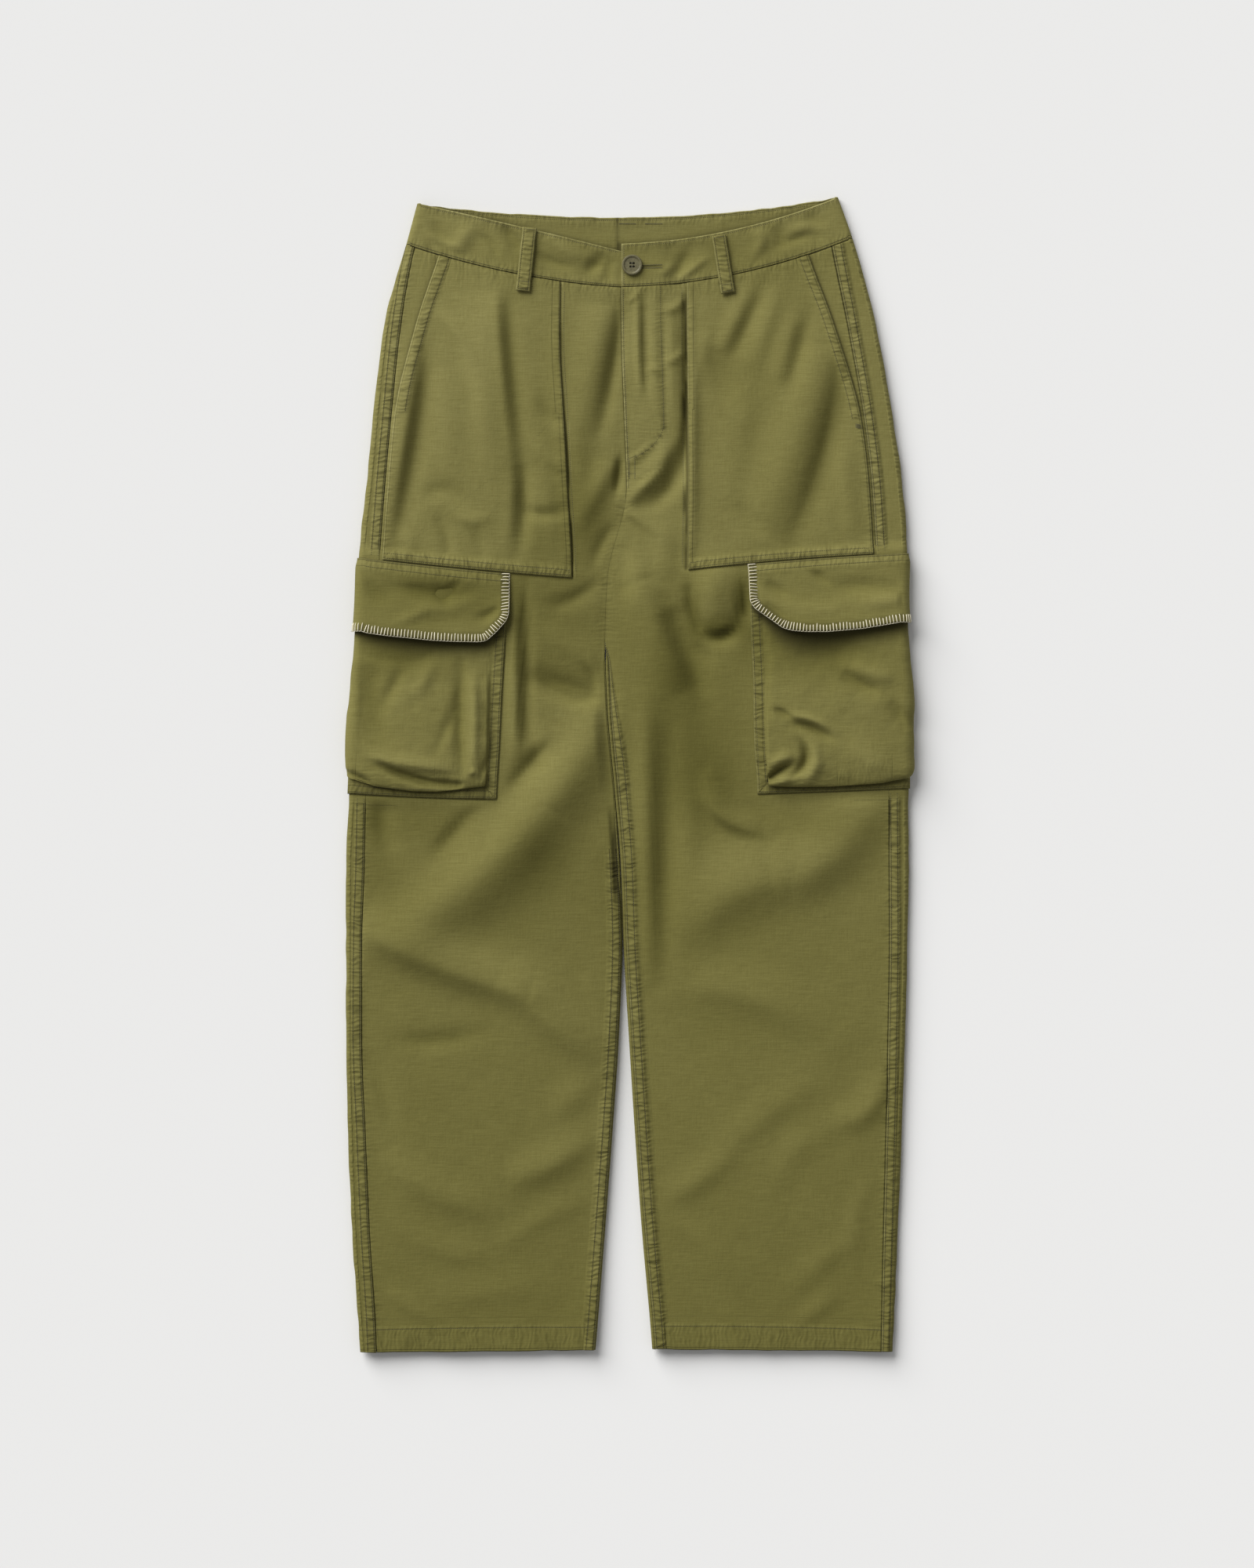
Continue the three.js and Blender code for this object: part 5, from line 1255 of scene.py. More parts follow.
FLAP_CREASES = {
    "right": [(520, 752, 560, 760, 610, 752, 8, 8, -1.2), (500, 770, 560, 776, 600, 768, 10, 10, 0.9),
              (560, 746, 566, 764, 574, 776, 6, 7, -0.9), (468, 740, 480, 756, 500, 768, 9, 9, -0.8),
              (562, 760, 574, 752, 588, 742, 5, 6, -1.3), (608, 790, 624, 784, 638, 774, 5, 6, -1.2),
              (505, 792, 528, 786, 550, 776, 6, 7, 0.9), (498, 748, 540, 751, 566, 748, 5, 6, -0.7)],
    "left": [(975, 745, 990, 752, 1004, 762, 7, 8, -1.1), (1060, 752, 1100, 748, 1150, 752, 10, 9, -0.9),
             (1090, 766, 1120, 770, 1156, 762, 9, 9, 0.8), (1000, 770, 1040, 778, 1080, 772, 9, 9, 0.6),
             (1036, 730, 1046, 736, 1058, 746, 5, 6, -1.1), (1100, 758, 1124, 764, 1150, 762, 8, 8, 0.5),
             (976, 772, 988, 779, 1002, 790, 5, 5, -0.9)],
}

# Creases of the bellows pockets' faces, as for the front.
BAG_FOLDS = {
    "right": [
        (590, 846, 588, 920, 591, 985, 6, 9, -2.4), (604, 860, 606, 920, 604, 990, 7, 7, 2.0),
        (622, 900, 630, 950, 612, 992, 5, 6, -1.8), (598, 990, 606, 985, 614, 996, 4, 4, 1.6),
        (486, 974, 524, 990, 571, 1000, 3.4, 7, -3.6), (560, 996, 580, 1000, 592, 1000, 4, 7, -2.2),
        (470, 964, 520, 976, 580, 982, 12, 5, 2.4), (480, 850, 476, 900, 500, 960, 14, 18, -1.8),
        (520, 846, 500, 880, 486, 912, 9, 10, -1.4), (556, 836, 540, 870, 524, 890, 10, 10, 1.1),
        (580, 900, 570, 930, 556, 960, 7, 8, -1.0), (444, 984, 460, 992, 476, 1002, 4, 6, -2.0),
        (460, 820, 500, 834, 560, 832, 10, 12, -1.4), (448, 850, 452, 900, 446, 960, 8, 9, 0.8),
    ],
    "left": [
        (974, 1000, 992, 984, 1012, 974, 3.5, 5, -3.4), (980, 1008, 1000, 996, 1020, 990, 6, 6, 1.8),
        (980, 978, 996, 968, 1012, 966, 6, 6, 1.8), (1022, 946, 1028, 970, 1008, 992, 4, 6, -3.0),
        (1034, 950, 1040, 976, 1022, 1000, 8, 8, 2.0), (986, 906, 1000, 910, 1014, 922, 4, 6, -1.6),
        (1010, 924, 1034, 928, 1060, 944, 5, 7, -2.4), (1006, 914, 1034, 918, 1064, 934, 6, 5, 1.6),
        (1074, 858, 1096, 872, 1124, 884, 8, 11, -2.2), (1084, 846, 1110, 858, 1140, 866, 10, 10, 1.4),
        (1134, 894, 1148, 912, 1160, 930, 8, 10, -1.6), (1020, 820, 1060, 826, 1100, 816, 16, 22, -2.2),
        (980, 830, 976, 870, 980, 920, 6, 9, -1.2), (1080, 950, 1110, 970, 1140, 978, 18, 14, 1.2),
        (1040, 996, 1070, 1000, 1110, 996, 12, 8, -0.9), (1154, 804, 1162, 830, 1164, 850, 5, 5, -1.0),
    ],
}
BAG_PUFF = {"right": 6.6, "left": 8.0}
BAG_FILL = {"right": (0.05, 0.8), "left": (0.0, 0.6)}
# How far above the pocket's foot its face hangs over, along the photo's x.
LIP = {
    "right": [(430, 12.5), (455, 11.0), (482, 8.0), (528, 5.4), (560, 5.8), (580, 7.6), (602, 10.0), (632, 12.6)],
    "left": [(968, 8.5), (990, 6.6), (1014, 5.4), (1060, 4.6), (1110, 5.4), (1150, 7.0), (1170, 7.4)],
}


def cargo_pocket(side):
    """A sewn border, a gusset, a filled face that bulges over the border at the foot, and a flat back."""
    levels, name = side.level, side.name
    toward = side.to_centre
    mouth, foot = levels["patch hem"] + 26, levels["pocket foot"]
    # rows: down the face, round the lip, back under it and over the border
    profile = np.array([(-34, 1.0), (-26, 1.0), (-19, 1.0), (-13, 0.99), (-9, 0.97), (-6, 0.93), (-3.6, 0.87),
                        (-1.8, 0.78), (-0.6, 0.66), (0, 0.52), (-0.1, 0.38), (-0.8, 0.25), (-2.0, 0.13), (-3.2, 0.05),
                        (-3.4, 0.0)])
    finer = np.linspace(0, len(profile) - 1, 3 * len(profile) - 2)
    profile = np.stack([np.interp(finer, np.arange(len(profile)), profile[:, k]) for k in (0, 1)], -1)
    face = np.linspace(0, 1, 78)[:, None]
    border = np.linspace(0, 1, 9)[1:, None]
    down = np.concatenate([lerp(0, 0.62, face), lerp(0.64, 0.97, np.linspace(0, 1, len(profile))[:, None]),
                           lerp(0.97, 1, border)])
    s_even = lerp(mouth, foot, down)
    section = side.at(s_even)
    top_x = side.top_of_roll(section)
    reach = np.abs(top_x - side.cargo_edge(s_even))
    cols = []
    for a, b, count in ((0, STRIP, 8), (STRIP, STRIP + 12, 9)):
        cols.append(lerp(a, b, np.linspace(0, 1, count + 1)[None, (1 if cols else 0):]) + 0 * reach)
    rest = np.linspace(0, 1, 64)[None, 1:]
    cols.append(lerp(STRIP + 12, reach, rest))
    inward = np.concatenate(cols, 1)
    arc = np.linspace(0, math.pi, 17)[None, 1:] + 0 * reach
    back = math.pi + np.concatenate([np.linspace(0, 10, 5)[1:],
                                     np.linspace(10, CARGO_BACK - 4, 12)[1:]])[None] + 0 * reach
    q = np.concatenate([inward - reach, arc, back], 1)
    marks = np.array(LIP[name])
    lip_over = np.interp(top_x - toward * np.minimum(q, 0), px(marks[:, 0], 0 * marks[:, 0])[0], marks[:, 1])
    lip = foot - lip_over
    high = np.concatenate([np.ones((len(face), 1)), profile[:, 1:], np.zeros((len(border), 1))])
    s_bulge = np.concatenate([lerp(mouth, lip[: len(face)] - 38, face), lip[len(face):-len(border)] + profile[:, :1],
                              lerp(lip[-len(border):] - 3, foot, border)])
    s_plain = np.concatenate([lerp(mouth, lip[: len(face)] - 38, face),
                              lerp(lip[len(face):-len(border)] - 34, lip[len(face):-len(border)] - 3,
                                   np.linspace(0, 1, len(profile))[:, None]),
                              lerp(lip[-len(border):] - 3, foot, border)])
    down = (s_plain - mouth) / (foot - mouth)
    gusset = lerp(9.0, 1.6, smooth(0.0, 0.75, down[:, : inward.shape[1]]))
    rise_in = smooth(0, 1, np.clip((inward - STRIP) / gusset, 0, 1))
    puff_down = 0.06 + 0.94 * smooth(*BAG_FILL[name], down)
    n_in, n_arc = inward.shape[1], 16
    across = np.ones((len(s_plain), q.shape[1]))
    across[:, :n_in] = rise_in
    across[:, n_in:n_in + n_arc] = lerp(0.86, 0.0, smooth(0, math.pi * 0.93, arc))
    across[:, n_in + n_arc:] = 0
    middle = np.clip((inward - STRIP) / (reach - STRIP), 0, 1)
    across[:, :n_in] *= 1 + 0.12 * np.sin(np.pi * middle) - 0.14 * smooth(0.75, 1, middle)
    share = np.clip(across, 0, 1)
    s = lerp(s_plain, s_bulge, share)
    puff = BAG_PUFF[name] * puff_down * across * high
    plain_grid = wrap_point(side, s, q, 0 * q)
    px_, py_ = plain_grid[..., 0], plain_grid[..., 1]
    on_face = smooth(0.3, 0.9, high) * smooth(0.15, 0.6, across)
    creases = 2.0 * fold_sum(BAG_FOLDS[name], px_, py_) * on_face * (q < math.pi * 0.45)
    soft = (0.55 * noise2(px_ / 21, py_ / 24, 7) + 0.25 * noise2(px_ / 8, py_ / 9, 8)) * on_face
    seed = side.pick(111, 121)
    flat = 1 - smooth(0.0, 0.25, across * high)
    edge = np.concatenate([inward, np.full((len(s_plain), q.shape[1] - n_in), AWAY)], 1)
    waves = ladder(-py_, seed, 12)
    up = foot - s
    low_waves = ladder(px_, seed + 2, 12)
    rise = flat * (0.35 * waves * plateau(edge, 1.2, STRIP, 2) * (up > 6) + 0.2 * low_waves
                   * plateau(up, 1, lip_over, 2)
                   - 0.45 * bump(edge, 0.9) - 0.45 * bump(up, 0.9))
    border = np.minimum(edge, np.where(high < 0.3, up, AWAY))
    row = np.where(edge < up, 8.0, side.pick(7.4, NO_ROW))
    gather = np.where(edge < up, 0.85 * flat * plateau(edge, 0.3, STRIP, 2), -0.7 * flat
                      * plateau(up, 0.3, lip_over, 2))
    crumple = on_face * (bump(up - lip_over, 26) + 0.5 * bump(np.abs(inward_all(inward, q)) - STRIP - 6, 12))
    gather = np.where(flat > 0.5, gather, 0.28 * crumple * np.sign(np.sin(px_ / 19) + 0.3))
    # painted shade at the gusset's foot and painted shadow under the face's overhanging lip
    lip_shadow = (high < 0.5) * smooth(-6, -2.2, -(up - lip_over - 1)) * share
    shade = (-0.25 * flat * bump(edge - STRIP - 0.8, 1.2) * smooth(0.3, 0.8, down) - 0.35 * lip_shadow
             - 0.25 * flat * bump(up - lip_over + 0.5, 1.2))
    # the place shaded by the flap
    line, depth = path(*sorted(FLAP[name]["bottom"])), path(*FLAP_SHADE[name])
    below = np.interp(px_, line[:, 0], line[:, 1]) - py_
    deep = np.interp(px_, depth[:, 0], np.interp(depth[:, 0], line[:, 0], line[:, 1]) - depth[:, 1])
    shade = shade - 1.15 * np.exp(-(np.maximum(below, 0) / deep) ** 2.2) * smooth(0, 3, inward_all(inward, q) + 0
                                                                                  * q) * (q < 2)
    raise_ = LAYER + np.maximum(puff + creases + soft * (puff > 1), 0) + rise * (q < 0)
    raise_ = np.where(q > math.pi, LAYER, raise_)
    grid = wrap_point(side, s, q, raise_)
    under_flap = 1 - smooth(levels["crotch"] + 2, levels["crotch"] + 2 + ROW_RAMP, s)
    grid[..., 2] = np.where(q > math.pi, np.maximum(grid[..., 2], LAYER * under_flap), grid[..., 2])
    # painted light and shade: the face's crease ridges lighter, its troughs darker
    return shell(f"cargo_pocket_{name}", grid, shade=shade, edge=border, row=row, gather=gather,
                 tone=0.035 * np.clip(creases, -5, 3))


def inward_all(inward, q):
    """Distance in from the border, kept constant round the leg's side."""
    return np.concatenate([inward, np.full((len(q), q.shape[1] - inward.shape[1]), 40.0)], 1)


def along_line(line, t):
    line = path(*line)
    lengths = np.concatenate([[0], np.cumsum(np.hypot(*np.diff(line, axis=0).T))])
    at = t * lengths[-1]
    return np.stack([np.interp(at, lengths, line[:, k]) for k in (0, 1)], -1)


def cargo_flap(side):
    levels, name = side.level, side.name
    hem, foot = levels["patch hem"], levels["pocket foot"]
    top_s = hem + 2 * GAP
    # the cut corner takes the first columns, close together
    t = np.concatenate([np.linspace(0, 0.2, 15), np.linspace(0.2, 1, 40)[1:]])
    bottom = along_line(FLAP[name]["bottom"], t)
    bottom_s = side.row_at(bottom[:, 0], bottom[:, 1])
    section = side.at(bottom_s)
    roll_x = side.top_of_roll(section)
    keep = side.sign * (roll_x - bottom[:, 0]) > 0.8
    bottom, bottom_s = bottom[keep], bottom_s[keep]
    t = t[keep]
    bottom_q = -np.abs(side.top_of_roll(side.at(bottom_s)) - bottom[:, 0])
    top_section = side.at(top_s)
    top_roll = side.top_of_roll(top_section)
    inner_top = px(*FLAP[name]["inner"][0])[0]
    start_q = -abs(top_roll - inner_top)
    top_q = start_q * (bottom_q / bottom_q[0])
    v = lerp(np.linspace(0, 1, 30), smooth(0, 1, np.linspace(0, 1, 30)), 0.5)[:, None]
    arc = np.linspace(0, math.pi, 17)[None]
    back = math.pi + np.linspace(0, CARGO_BACK - 4, 14)[None, 1:]
    tail = np.concatenate([arc, back], 1)
    s = np.concatenate([lerp(top_s, bottom_s[None], v), lerp(top_s, bottom_s[-1], v) + 0 * tail], 1)
    q = np.concatenate([lerp(top_q[None], bottom_q[None], v ** 0.8), tail + 0 * v], 1)
    mouth_down = np.clip((s - hem - 26) / (foot - hem - 26), 0, 1)
    bag = BAG_PUFF[name] * (0.06 + 0.94 * smooth(*BAG_FILL[name], mouth_down))
    over = smooth(0, 9, s - top_s)
    across = np.where(q < 0, 1.0, lerp(0.86, 0, smooth(0, math.pi * 0.93, np.clip(q, 0, math.pi))))
    flat = wrap_point(side, s, q, 0 * q)
    x, y = flat[..., 0], flat[..., 1]
    inner_line = along_line(FLAP[name]["inner"], np.linspace(0, 1, 6))
    edge_line = np.concatenate([inner_line, bottom])
    from_edge = line_distance(edge_line, x, y)
    creases = 2.6 * fold_sum(FLAP_CREASES[name], x, y) * (q < 0)
    seed = side.pick(131, 141)
    top_down = s - top_s
    waves = ladder(x, seed, 9)
    soft = 0.35 * noise2(x / 19, y / 17, seed)
    rise = (creases + soft) * over - 0.3 * bump(top_down - 6.5, 0.8) + 0.22 * waves * bump(top_down - 4, 4)
    rise = rise - 0.35 * bump(from_edge - 6.0, 1.0) * (q < 0) - 0.4 * bump(from_edge, 1.0) * (q < 0)
    corner = 1.2 * bump(np.hypot(x - bottom[0, 0], y - bottom[0, 1]), 14)
    free = smooth(0.35, 1, v) + 0 * q
    lifted = FLAP_LIFT * free * np.where(q < 0, 1, 1 - smooth(0, 1.6, np.clip(q, 0, math.pi)))
    stand = np.where(q > math.pi, 0, over * (bag * across + 1.6 * across + 0.5) + lifted + (rise + corner) * (q < 0.9))
    grid = wrap_point(side, s, q, LAYER + stand)
    grid[..., 2] = np.where(q > math.pi, 0, grid[..., 2])
    top_edge = top_down + 0 * q
    # painted shade in the band under the blanket stitches and painted shadow under the patch pocket's hem
    shade = -0.5 * plateau(from_edge, -1, 7.2, 0.7) * (q < 0.3) - 0.7 * bump(top_down, 0.9)
    # painted light and shade: the flap's crease ridges lighter, its troughs darker
    shell(f"cargo_flap_{name}", grid, shade=shade, edge=top_edge, row=np.full(q.shape, 7.0), tone=0.04
          * np.clip(creases, -4, 4) * over,
          gather=-0.6 * plateau(top_down, 0, 9, 4) * (q < math.pi))
    count = len(t) + 9
    return np.concatenate([grid[:, 0], grid[-1, 1:count]])


# Belt loops: the middle line from top to foot, as the photo has it.
LOOPS = {
    "right": {"top": (675.9, 290.5), "foot": (667.3, 372.0), "width": 12.6},
    "left": {"top": (917.0, 300.5), "foot": (928.8, 374.5), "width": 12.4},
}


def belt_loop(side):
    name = side.name
    data = LOOPS[name]
    top, foot = px(*data["top"]), px(*data["foot"])
    along = foot - top
    length = np.hypot(*along)
    across = np.array([-along[1], along[0]]) / length
    if across[0] < 0:
        across = -across
    v = lerp(np.linspace(0, 1, 46), smooth(0, 1, np.linspace(0, 1, 46)), 0.5)[:, None]
    u = np.linspace(-1, 1, 19)[None]
    half = data["width"] / 2 * (1 + 0.03 * noise1(v * 6, 150))
    x = top[0] + along[0] * v + across[0] * half * u
    y = top[1] + along[1] * v + across[1] * half * u
    s = side.row_at(x, y)
    on_pocket = smooth(side.level["waist seam"] - 6, side.level["waist seam"] + 1, s)
    resting = side.base(s, x) + lerp(BAND_RAISE, LAYER, on_pocket)
    stand = 2.2 + 1.7 * np.sin(np.pi * v) ** 0.5 * (1 - 0.12 * u ** 2)
    d = v * length
    folded = 0.9 * smooth(length - 9.5, length - 8, d)
    waves = ladder(d + 3 * u, side.pick(155, 157), 9)
    rise = folded - 0.3 * bump(np.abs(u) - 0.66, 0.12) + 0.4 * waves * plateau(np.abs(u), 0, 0.6, 0.2)
    rise = rise - 0.4 * bump(np.abs(u) - 1, 0.1)
    # painted shade along the fold at the loop's foot
    shade = -0.55 * bump(d - length + 9.2, 0.8) + 0 * u
    edge = np.minimum(half * (1 - np.abs(u)), length - d + 0 * u)
    shell(f"belt_loop_front_{name}", stack(x, y, resting + stand + rise), thickness=1.7, shade=shade, edge=edge,
          gather=0.8 * plateau(np.abs(u), -0.2, 0.75, 0.2) + 0 * d)


for side in SIDES.values():
    back_panel(side)
    front_panel(side)
    waistband(side)
    patch_pocket(side)
    cargo_pocket(side)
flap_edges = {name: cargo_flap(side) for name, side in SIDES.items()}
for side in SIDES.values():
    belt_loop(side)


# Sewing
def drop(names, points, above=0.08):
    """Points of the plane dropped from above onto the highest of the named pieces, with the normals there."""
    out = []
    for x, y in points:
        best = None
        for name in names:
            hit, normal, _, _ = trees[name].ray_cast(Vector((x * MM, y * MM, 0.08)), Vector((0, 0, -1)), above)
            if hit is not None and (best is None or hit.z > best[0].z):
                best = (hit, normal if normal.z > 0 else -normal)
        out.append(best)
    return out


def resample(line, pitch):
    line = np.asarray(line, float)
    lengths = np.concatenate([[0], np.cumsum(np.hypot(*np.diff(line, axis=0).T))])
    count = max(2, int(round(lengths[-1] / pitch)) + 1)
    at = np.linspace(0, lengths[-1], count)
    return np.stack([np.interp(at, lengths, line[:, k]) for k in (0, 1)], -1)


class Threads:
    """Many short threads joined in one mesh."""

    def __init__(self):
        self.points, self.faces, self.count = [], [], 0

    def tube(self, centres, radius, ups, sides=6, taper=0.45, flat=1.0):
        centres = np.asarray(centres, float)
        n = len(centres)
        direction = np.gradient(centres, axis=0)
        direction /= np.maximum(np.linalg.norm(direction, axis=1, keepdims=True), 1e-9)
        ups = np.broadcast_to(np.asarray(ups, float), centres.shape)
        side = np.cross(direction, ups)
        side /= np.maximum(np.linalg.norm(side, axis=1, keepdims=True), 1e-9)
        up = np.cross(side, direction)
        radii = np.full(n, radius)
        radii[0] = radii[-1] = radius * taper
        angles = np.linspace(0, 2 * math.pi, sides, endpoint=False)
        ring = (np.cos(angles)[None, :, None] * side[:, None] + flat * np.sin(angles)[None, :, None] * up[:, None])
        points = centres[:, None] + ring * radii[:, None, None]
        index = self.count + np.arange(n * sides).reshape(n, sides)
        nxt = np.roll(index, -1, 1)
        quads = np.stack([index[:-1], nxt[:-1], nxt[1:], index[1:]], -1).reshape(-1, 4)
        ends = self.count + n * sides
        caps = []
        for ring_index, tip in ((index[0], ends), (index[-1], ends + 1)):
            rolled = np.roll(ring_index, -1)
            order = (rolled, ring_index) if tip == ends else (ring_index, rolled)
            caps.append(np.stack([order[0], order[1], np.full(sides, tip), np.full(sides, tip)], -1))
        self.points += [points.reshape(-1, 3), centres[[0, -1]] + direction[[0, -1]] * np.array([[-0.3], [0.3]])
                        * radius]
        self.faces.append(quads)
        self.faces += caps
        self.count += n * sides + 2

    def make(self, name, material):
        points = np.concatenate(self.points) * MM
        faces = np.concatenate(self.faces)
        triangles = np.concatenate([faces[:, [0, 1, 2]], faces[faces[:, 2] != faces[:, 3]][:, [0, 2, 3]]])
        return mesh_object(name, points, triangles, material)


def sew(threads, names, line, pitch=1.9, length=1.25, radius=0.27, seed=0, proud=0.05):
    """A row of stitches along a line of the plane, laid on the named pieces."""
    rng = np.random.RandomState(seed)
    points = resample(line, pitch)
    middles = (points[:-1] + points[1:]) / 2
    steps = np.diff(points, axis=0)
    steps /= np.maximum(np.hypot(*steps.T)[:, None], 1e-9)
    half = length / 2 * rng.uniform(0.88, 1.06, len(middles))[:, None]
    starts, ends = drop(names, middles - steps * half), drop(names, middles + steps * half)
    centres = drop(names, middles)
    for a, b, c in zip(starts, ends, centres):
        if not (a and b and c) or max(abs(a[0].z - c[0].z), abs(b[0].z - c[0].z)) > 0.0016:
            continue
        up = np.array(c[1])
        p0, p1, p2 = (np.array(h[0]) / MM for h in (a, c, b))
        threads.tube([p0 - up * 0.12, p1 + up * (proud + 0.06), p2 - up * 0.12], radius, up, sides=4, taper=0.6)


def front_line(side, s, x):
    """Points of the front, of the plane, at rows s and places x."""
    return np.stack([x, side.front_y(side.at(s), x)], -1)


def rows_along(side, key, offset, start, end, step=6.0):
    """A line at a distance from one of the section's lines, towards the outline where offset is positive."""
    s = np.arange(start, end + 0.1, step)
    section = side.at(s)
    if key == "inseam":
        x = section.centre - side.to_centre * side.inset(s)
        offset = offset * (side.band_share(s) if side.name == "left" else 1)
    else:
        x = getattr(section, key)
    return front_line(side, s, x + side.sign * offset)


def row_across(side, s, x0, x1, step=4.0):
    x = np.linspace(x0, x1, max(3, int(abs(x1 - x0) / step)))
    return front_line(side, np.full(x.shape, float(s)), x)


for side in SIDES.values():
    threads = Threads()
    name, sign, toward, levels = side.name, side.sign, side.to_centre, side.level
    front, back = f"front_panel_{name}", f"back_panel_{name}"
    band, patch, bag, flap = (f"{key}_{name}" for key in ("waistband", "patch_pocket", "cargo_pocket", "cargo_flap"))
    seed = side.pick(200, 300)
    for k, offset in enumerate(SEAM_ROWS):
        sew(threads, [back], rows_along(side, "seam", offset, levels["waist seam"] + 1, levels["patch hem"] - 2),
            seed=seed + k)
        sew(threads, [back], rows_along(side, "seam", offset, levels["pocket foot"] + 3, levels["hem"] - 0.6),
            seed=seed + 2 + k)
        start = levels["crotch"] + 4 if name == "left" else 70
        sew(threads, [front], rows_along(side, "inseam", offset, start, levels["hem"] - 0.6), seed=seed + 4 + k)
    edge = side.at(levels["waist top"])
    s_top = levels["waist top"]
    band_height = levels["waist seam"] - s_top
    top_row = row_across(side, s_top + 2.3 / BAND_HEIGHT * band_height, edge.centre + sign * 2.4, edge.edge - sign * 3)
    low_row = row_across(side, levels["waist seam"] - 2.0 / BAND_HEIGHT * band_height, edge.centre + sign * 2.4,
                         side.at(levels["waist seam"]).edge - sign * 3)
    sew(threads, [band], top_row, seed=seed + 6)
    sew(threads, [band], low_row, seed=seed + 7)
    s = np.arange(levels["waist seam"] + 2, levels["mouth end"] + 2, 4.0)
    sew(threads, [patch], front_line(side, s, side.at(s).opening + toward * FACING[name]), seed=seed + 8)
    hem_section = side.at(levels["patch hem"])
    for up in (1.8, 6.6):
        sew(threads, [patch], row_across(side, levels["patch hem"] - up, hem_section.opening + toward * 1.5,
                                         hem_section.pocket - toward * 2), seed=seed + 9)
    s = np.arange(levels["patch hem"] - 8, levels["patch hem"] - 1, 2.0)
    section = side.at(s)
    sew(threads, [patch], np.stack([section.pocket - toward * 2, side.front_y(section, section.pocket)], -1),
        seed=seed + 10)
    # beside the patch pocket's inner edge, on the panel below
    s = np.arange(levels["waist seam"] + 8, levels["patch hem"] - 3, 4.0)
    x = side.at(s).pocket + toward * (POCKET_GROOVE[name] + 2.0)
    sew(threads, [front], front_line(side, s, x), seed=seed + 11)
    # border of the bellows pocket
    s = np.arange(levels["patch hem"] + 30, levels["pocket foot"] - 1.6, 4.0)
    for offset in (1.9, 8.0):
        line = front_line(side, s, side.cargo_edge(s) - toward * offset)
        sew(threads, [bag], line[: len(line) - (2 if offset > 4 else 0)], seed=seed + 12)
    foot = side.at(levels["pocket foot"])
    inner = float(side.cargo_edge(levels["pocket foot"]))
    sew(threads, [bag], row_across(side, levels["pocket foot"] - 1.9, inner - toward * 1.9, foot.edge - sign * 6),
        seed=seed + 14)
    if name == "right":
        sew(threads, [bag], row_across(side, levels["pocket foot"] - 7.4, inner - toward * 9, foot.edge - sign * 6),
            seed=seed + 15)
    # top of the flap
    top = side.at(levels["patch hem"])
    start = px(*FLAP[name]["inner"][0])[0] - toward * 4
    for down in (1.9, 7.0):
        sew(threads, [flap], row_across(side, levels["patch hem"] + down, start, top.edge - sign * 6), seed=seed + 16)
    # hem
    hem = side.at(levels["hem"] - HEM_DEPTH)
    sew(threads, [front, back], row_across(side, levels["hem"] - HEM_DEPTH, hem.centre + sign * 1.5, hem.edge - sign
                                           * 2),
        seed=seed + 17)
    # belt loop
    data = LOOPS[name]
    a, b = px(*data["top"]), px(*data["foot"])
    across = np.array([-(b - a)[1], (b - a)[0]]) / np.hypot(*(b - a))
    for k in (-0.36, 0.36):
        offset = across * data["width"] * k
        sew(threads, [f"belt_loop_front_{name}"], [a + offset + (b - a) * 0.02, b + offset - (b - a) * 0.02],
            seed=seed + 18)
    for t in (0.03, 0.85, 0.97):
        centre = a + (b - a) * t
        sew(threads, [f"belt_loop_front_{name}"], [centre - across * 4.6, centre + across * 4.6], pitch=1.2, length=1.4,
            seed=seed + 19)
    if name == "left":
        s = np.arange(levels["waist seam"] + 2, FLY_END[0], 4.0)
        sew(threads, [front], front_line(side, s, side.at(s).centre + 2.0), seed=401)
        sew(threads, [front], J_STITCH, seed=402)
        s = np.linspace(s_top + 2, levels["waist seam"] - 1.5, 12)
        sew(threads, [band], front_line(side, s, side.at(s).centre + 2.4), seed=403)
        for bar in ([(799.5, 586), (812, 581)], [(799, 604), (811, 604)], [(803, 586), (803, 611)],
                    [(810, 585), (810, 611)]):
            sew(threads, [front], [px(*p) for p in bar], pitch=1.5, length=1.6, seed=404)
        for k in (-2.0, 2.0):
            sew(threads, [band], BUTTONHOLE + (0, k * PIXEL), pitch=0.9, length=1.1, radius=0.35, seed=405)
    threads.make(f"stitches_{name}", olive_thread)


# Bar tacks and the rows inside the back of the waistband
inside = Threads()
for side in SIDES.values():
    name = side.name
    s = side.level["waist top"] + 2.6 / BAND_HEIGHT * (side.level["waist seam"] - side.level["waist top"])
    section = side.at(s)
    x = np.linspace(section.back, lerp(section.back, section.edge, 0.86), 60)
    line = np.stack([x, side.back_y(section, x)], -1)
    sew(inside, [f"waistband_{name}_inside"], line, seed=500)
for bar in ([(790, 284), (811, 284)], [(823, 284), (845, 284)]):
    sew(inside, ["waistband_right_inside", "waistband_left_inside"], [px(*p) for p in bar], pitch=1.0, length=1.5,
        radius=0.45, seed=501)
inside.make("stitches_inside", olive_thread)

# Bar tacks at the pocket mouths
tacks = Threads()
for name, (a, b) in {"right": ((500.5, 529), (511, 531)), "left": ((1090, 543), (1101, 545.5))}.items():
    start, end = px(*a), px(*b)
    for k in np.linspace(-1.7, 1.7, 8):
        sew(tacks, [f"patch_pocket_{name}", f"back_panel_{name}", f"front_panel_{name}"],
            [start + (0, k), end + (0, k)],
            pitch=7.6, length=7.4, radius=0.32, seed=502)
tacks.make("pocket_mouth_tacks", olive_thread)


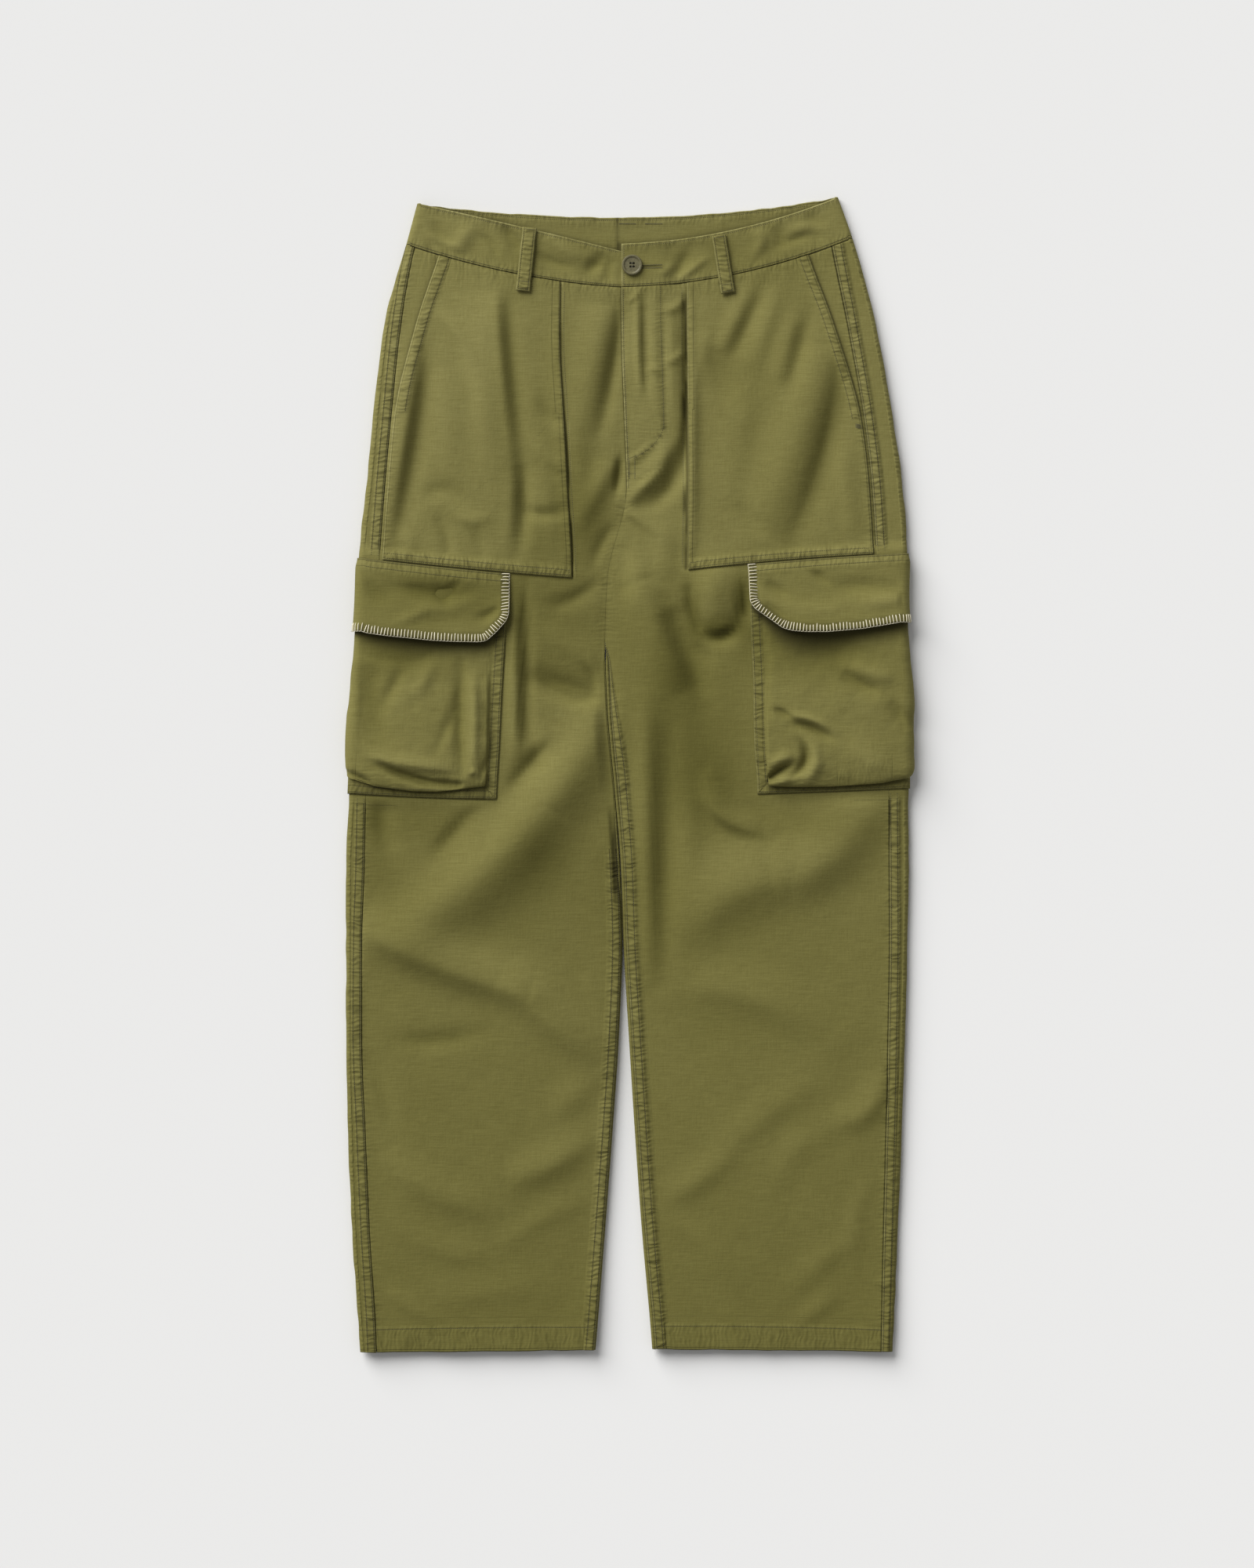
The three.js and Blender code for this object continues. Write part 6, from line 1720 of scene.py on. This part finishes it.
def blanket_stitch(name, border, pitch=3.0, depth=6.6):
    """Cream bars across the flap's edge, joined by a thread along it. border holds the edge's points."""
    tree = trees[f"cargo_flap_{name}"]
    threads = Threads()
    rng = np.random.RandomState(600 if name == "right" else 601)
    lengths = np.concatenate([[0], np.cumsum(np.linalg.norm(np.diff(border, axis=0), axis=1))])
    at = np.arange(0.4, lengths[-1], pitch)
    points = np.stack([np.interp(at, lengths, border[:, k]) for k in range(3)], -1)
    tangents = np.gradient(points, axis=0)
    tangents /= np.linalg.norm(tangents, axis=1, keepdims=True)
    middle = border.mean(0)
    ends = []
    for p, tangent in zip(points, tangents):
        _, normal, _, _ = tree.find_nearest(Vector(p * MM))
        normal = np.array(normal)
        normal = normal if normal[2] > -0.2 else -normal
        inward = np.cross(tangent, normal)
        inward *= math.copysign(1, np.dot(inward, middle - p)) / np.linalg.norm(inward)
        reach = depth * rng.uniform(0.92, 1.07)
        lean = tangent * rng.uniform(-0.3, 0.3)
        line = [p - inward * 0.5 - normal * 1.5, p - inward * 0.62 - normal * 0.3, p - inward * 0.1 + normal * 0.42]
        for t, lift in ((0.2, 0.42), (0.5, 0.42), (0.8, 0.36), (1.0, -0.2)):
            place, up, _, _ = tree.find_nearest(Vector((p + inward * reach * t + lean * t) * MM))
            up = np.array(up)
            line.append(np.array(place) / MM + (up if up[2] > -0.2 else -up) * lift)
        threads.tube(line, 0.46 * rng.uniform(0.92, 1.08), normal, sides=6, taper=0.7)
        ends.append(line[1] + normal * 0.1)
    for a, b in zip(ends[:-1], ends[1:]):
        threads.tube([a, lerp(a, b, 0.5) - np.array([0, 0, 0.1]), b], 0.3, np.array([0, 0, 1.0]), sides=6, taper=0.8)
    threads.make(f"blanket_stitch_{name}", cream_thread)


for name, border in flap_edges.items():
    blanket_stitch(name, border)


# The button keeps its solid; its material and its thread come here
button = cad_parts["button"]
for slot in button.material_slots:
    slot.material = button_material()
low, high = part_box("button")
centre = np.array([(low[k] + high[k]) / 2 for k in range(3)]) / MM
top = high[2] / MM
thread = Threads()
for a in (-1, 1):
    for shift in (-0.25, 0.25):
        y = centre[1] + a * 1.5 + shift
        line = [(centre[0] - 1.5, y, top - 2.4), (centre[0] - 0.95, y, top - 0.95), (centre[0], y, top - 0.62),
                (centre[0] + 0.95, y, top - 0.95), (centre[0] + 1.5, y, top - 2.4)]
        thread.tube(line, 0.2, np.array([0, 0, 1.0]), sides=6)
thread.make("button_hole_thread", button_thread)

# Sheets: each cloth piece with its width, length and area, the piece below it and the threads that go with it
SHEETS = [
    ("front_panel_right", 0.245, 0.99, 0.2115, "back_panel_right", ["stitches_right"]),
    ("front_panel_left", 0.255, 0.99, 0.2235, "back_panel_left", ["stitches_left"]),
    ("back_panel_right", 0.285, 0.99, 0.2500, "floor", []),
    ("back_panel_left", 0.295, 0.99, 0.2500, "floor", []),
    ("waistband_right", 0.425, 0.041, 0.0165, "floor", ["stitches_inside"]),
    ("waistband_left", 0.400, 0.041, 0.0160, "floor", []),
    ("patch_pocket_right", 0.170, 0.300, 0.0410, "front_panel_right", ["pocket_mouth_tacks"]),
    ("patch_pocket_left", 0.170, 0.290, 0.0400, "front_panel_left", []),
    ("cargo_pocket_right", 0.270, 0.190, 0.0460, "front_panel_right", []),
    ("cargo_pocket_left", 0.270, 0.190, 0.0460, "front_panel_left", []),
    ("cargo_flap_right", 0.245, 0.062, 0.0150, "cargo_pocket_right", ["blanket_stitch_right"]),
    ("cargo_flap_left", 0.245, 0.062, 0.0150, "cargo_pocket_left", ["blanket_stitch_left"]),
    ("belt_loop_front_right", 0.0127, 0.059, None, "waistband_right", []),
    ("belt_loop_front_left", 0.0125, 0.055, None, "waistband_left", []),
]

# The table, the light and the camera
bpy.ops.mesh.primitive_plane_add(size=9, location=(0, 0, -0.0004))
floor = bpy.context.object
floor.name = "floor"
floor_material, _, floor_shader = node_tree("pale_paper", 0.9)
floor_shader.inputs["Base Color"].default_value = linear(234, 234, 234)
floor_shader.inputs["Specular IOR Level"].default_value = 0.1
floor.data.materials.append(floor_material)

for name, width, length, area, below, others in SHEETS:
    [pieces[o] for o in others]


sun_data = bpy.data.lights.new("key", "SUN")
sun_data.energy = 4.06
sun_data.angle = math.radians(50)
sun_data.color = (1.0, 0.995, 0.98)
sun = bpy.data.objects.new("key", sun_data)
sun.rotation_euler = Vector((-0.62, 0.78, 0.64)).to_track_quat("Z", "Y").to_euler()
bpy.context.scene.collection.objects.link(sun)
world = bpy.data.worlds.new("studio")
world.use_nodes = True
world.node_tree.nodes["Background"].inputs["Color"].default_value = (1, 1, 1, 1)
world.node_tree.nodes["Background"].inputs["Strength"].default_value = 0.31
bpy.context.scene.world = world
bpy.context.scene.view_settings.view_transform = "Standard"

camera_data = bpy.data.cameras.new("camera")
camera_data.lens = 100
camera_data.sensor_width = 36
camera_data.clip_end = 50
camera = bpy.data.objects.new("camera", camera_data)
centre = px(800, 1000) * MM
camera.location = (centre[0], centre[1], 1.4 * 100 / 36 + 0.010)
camera.rotation_euler = (0, 0, 0)
bpy.context.scene.collection.objects.link(camera)
bpy.context.scene.camera = camera
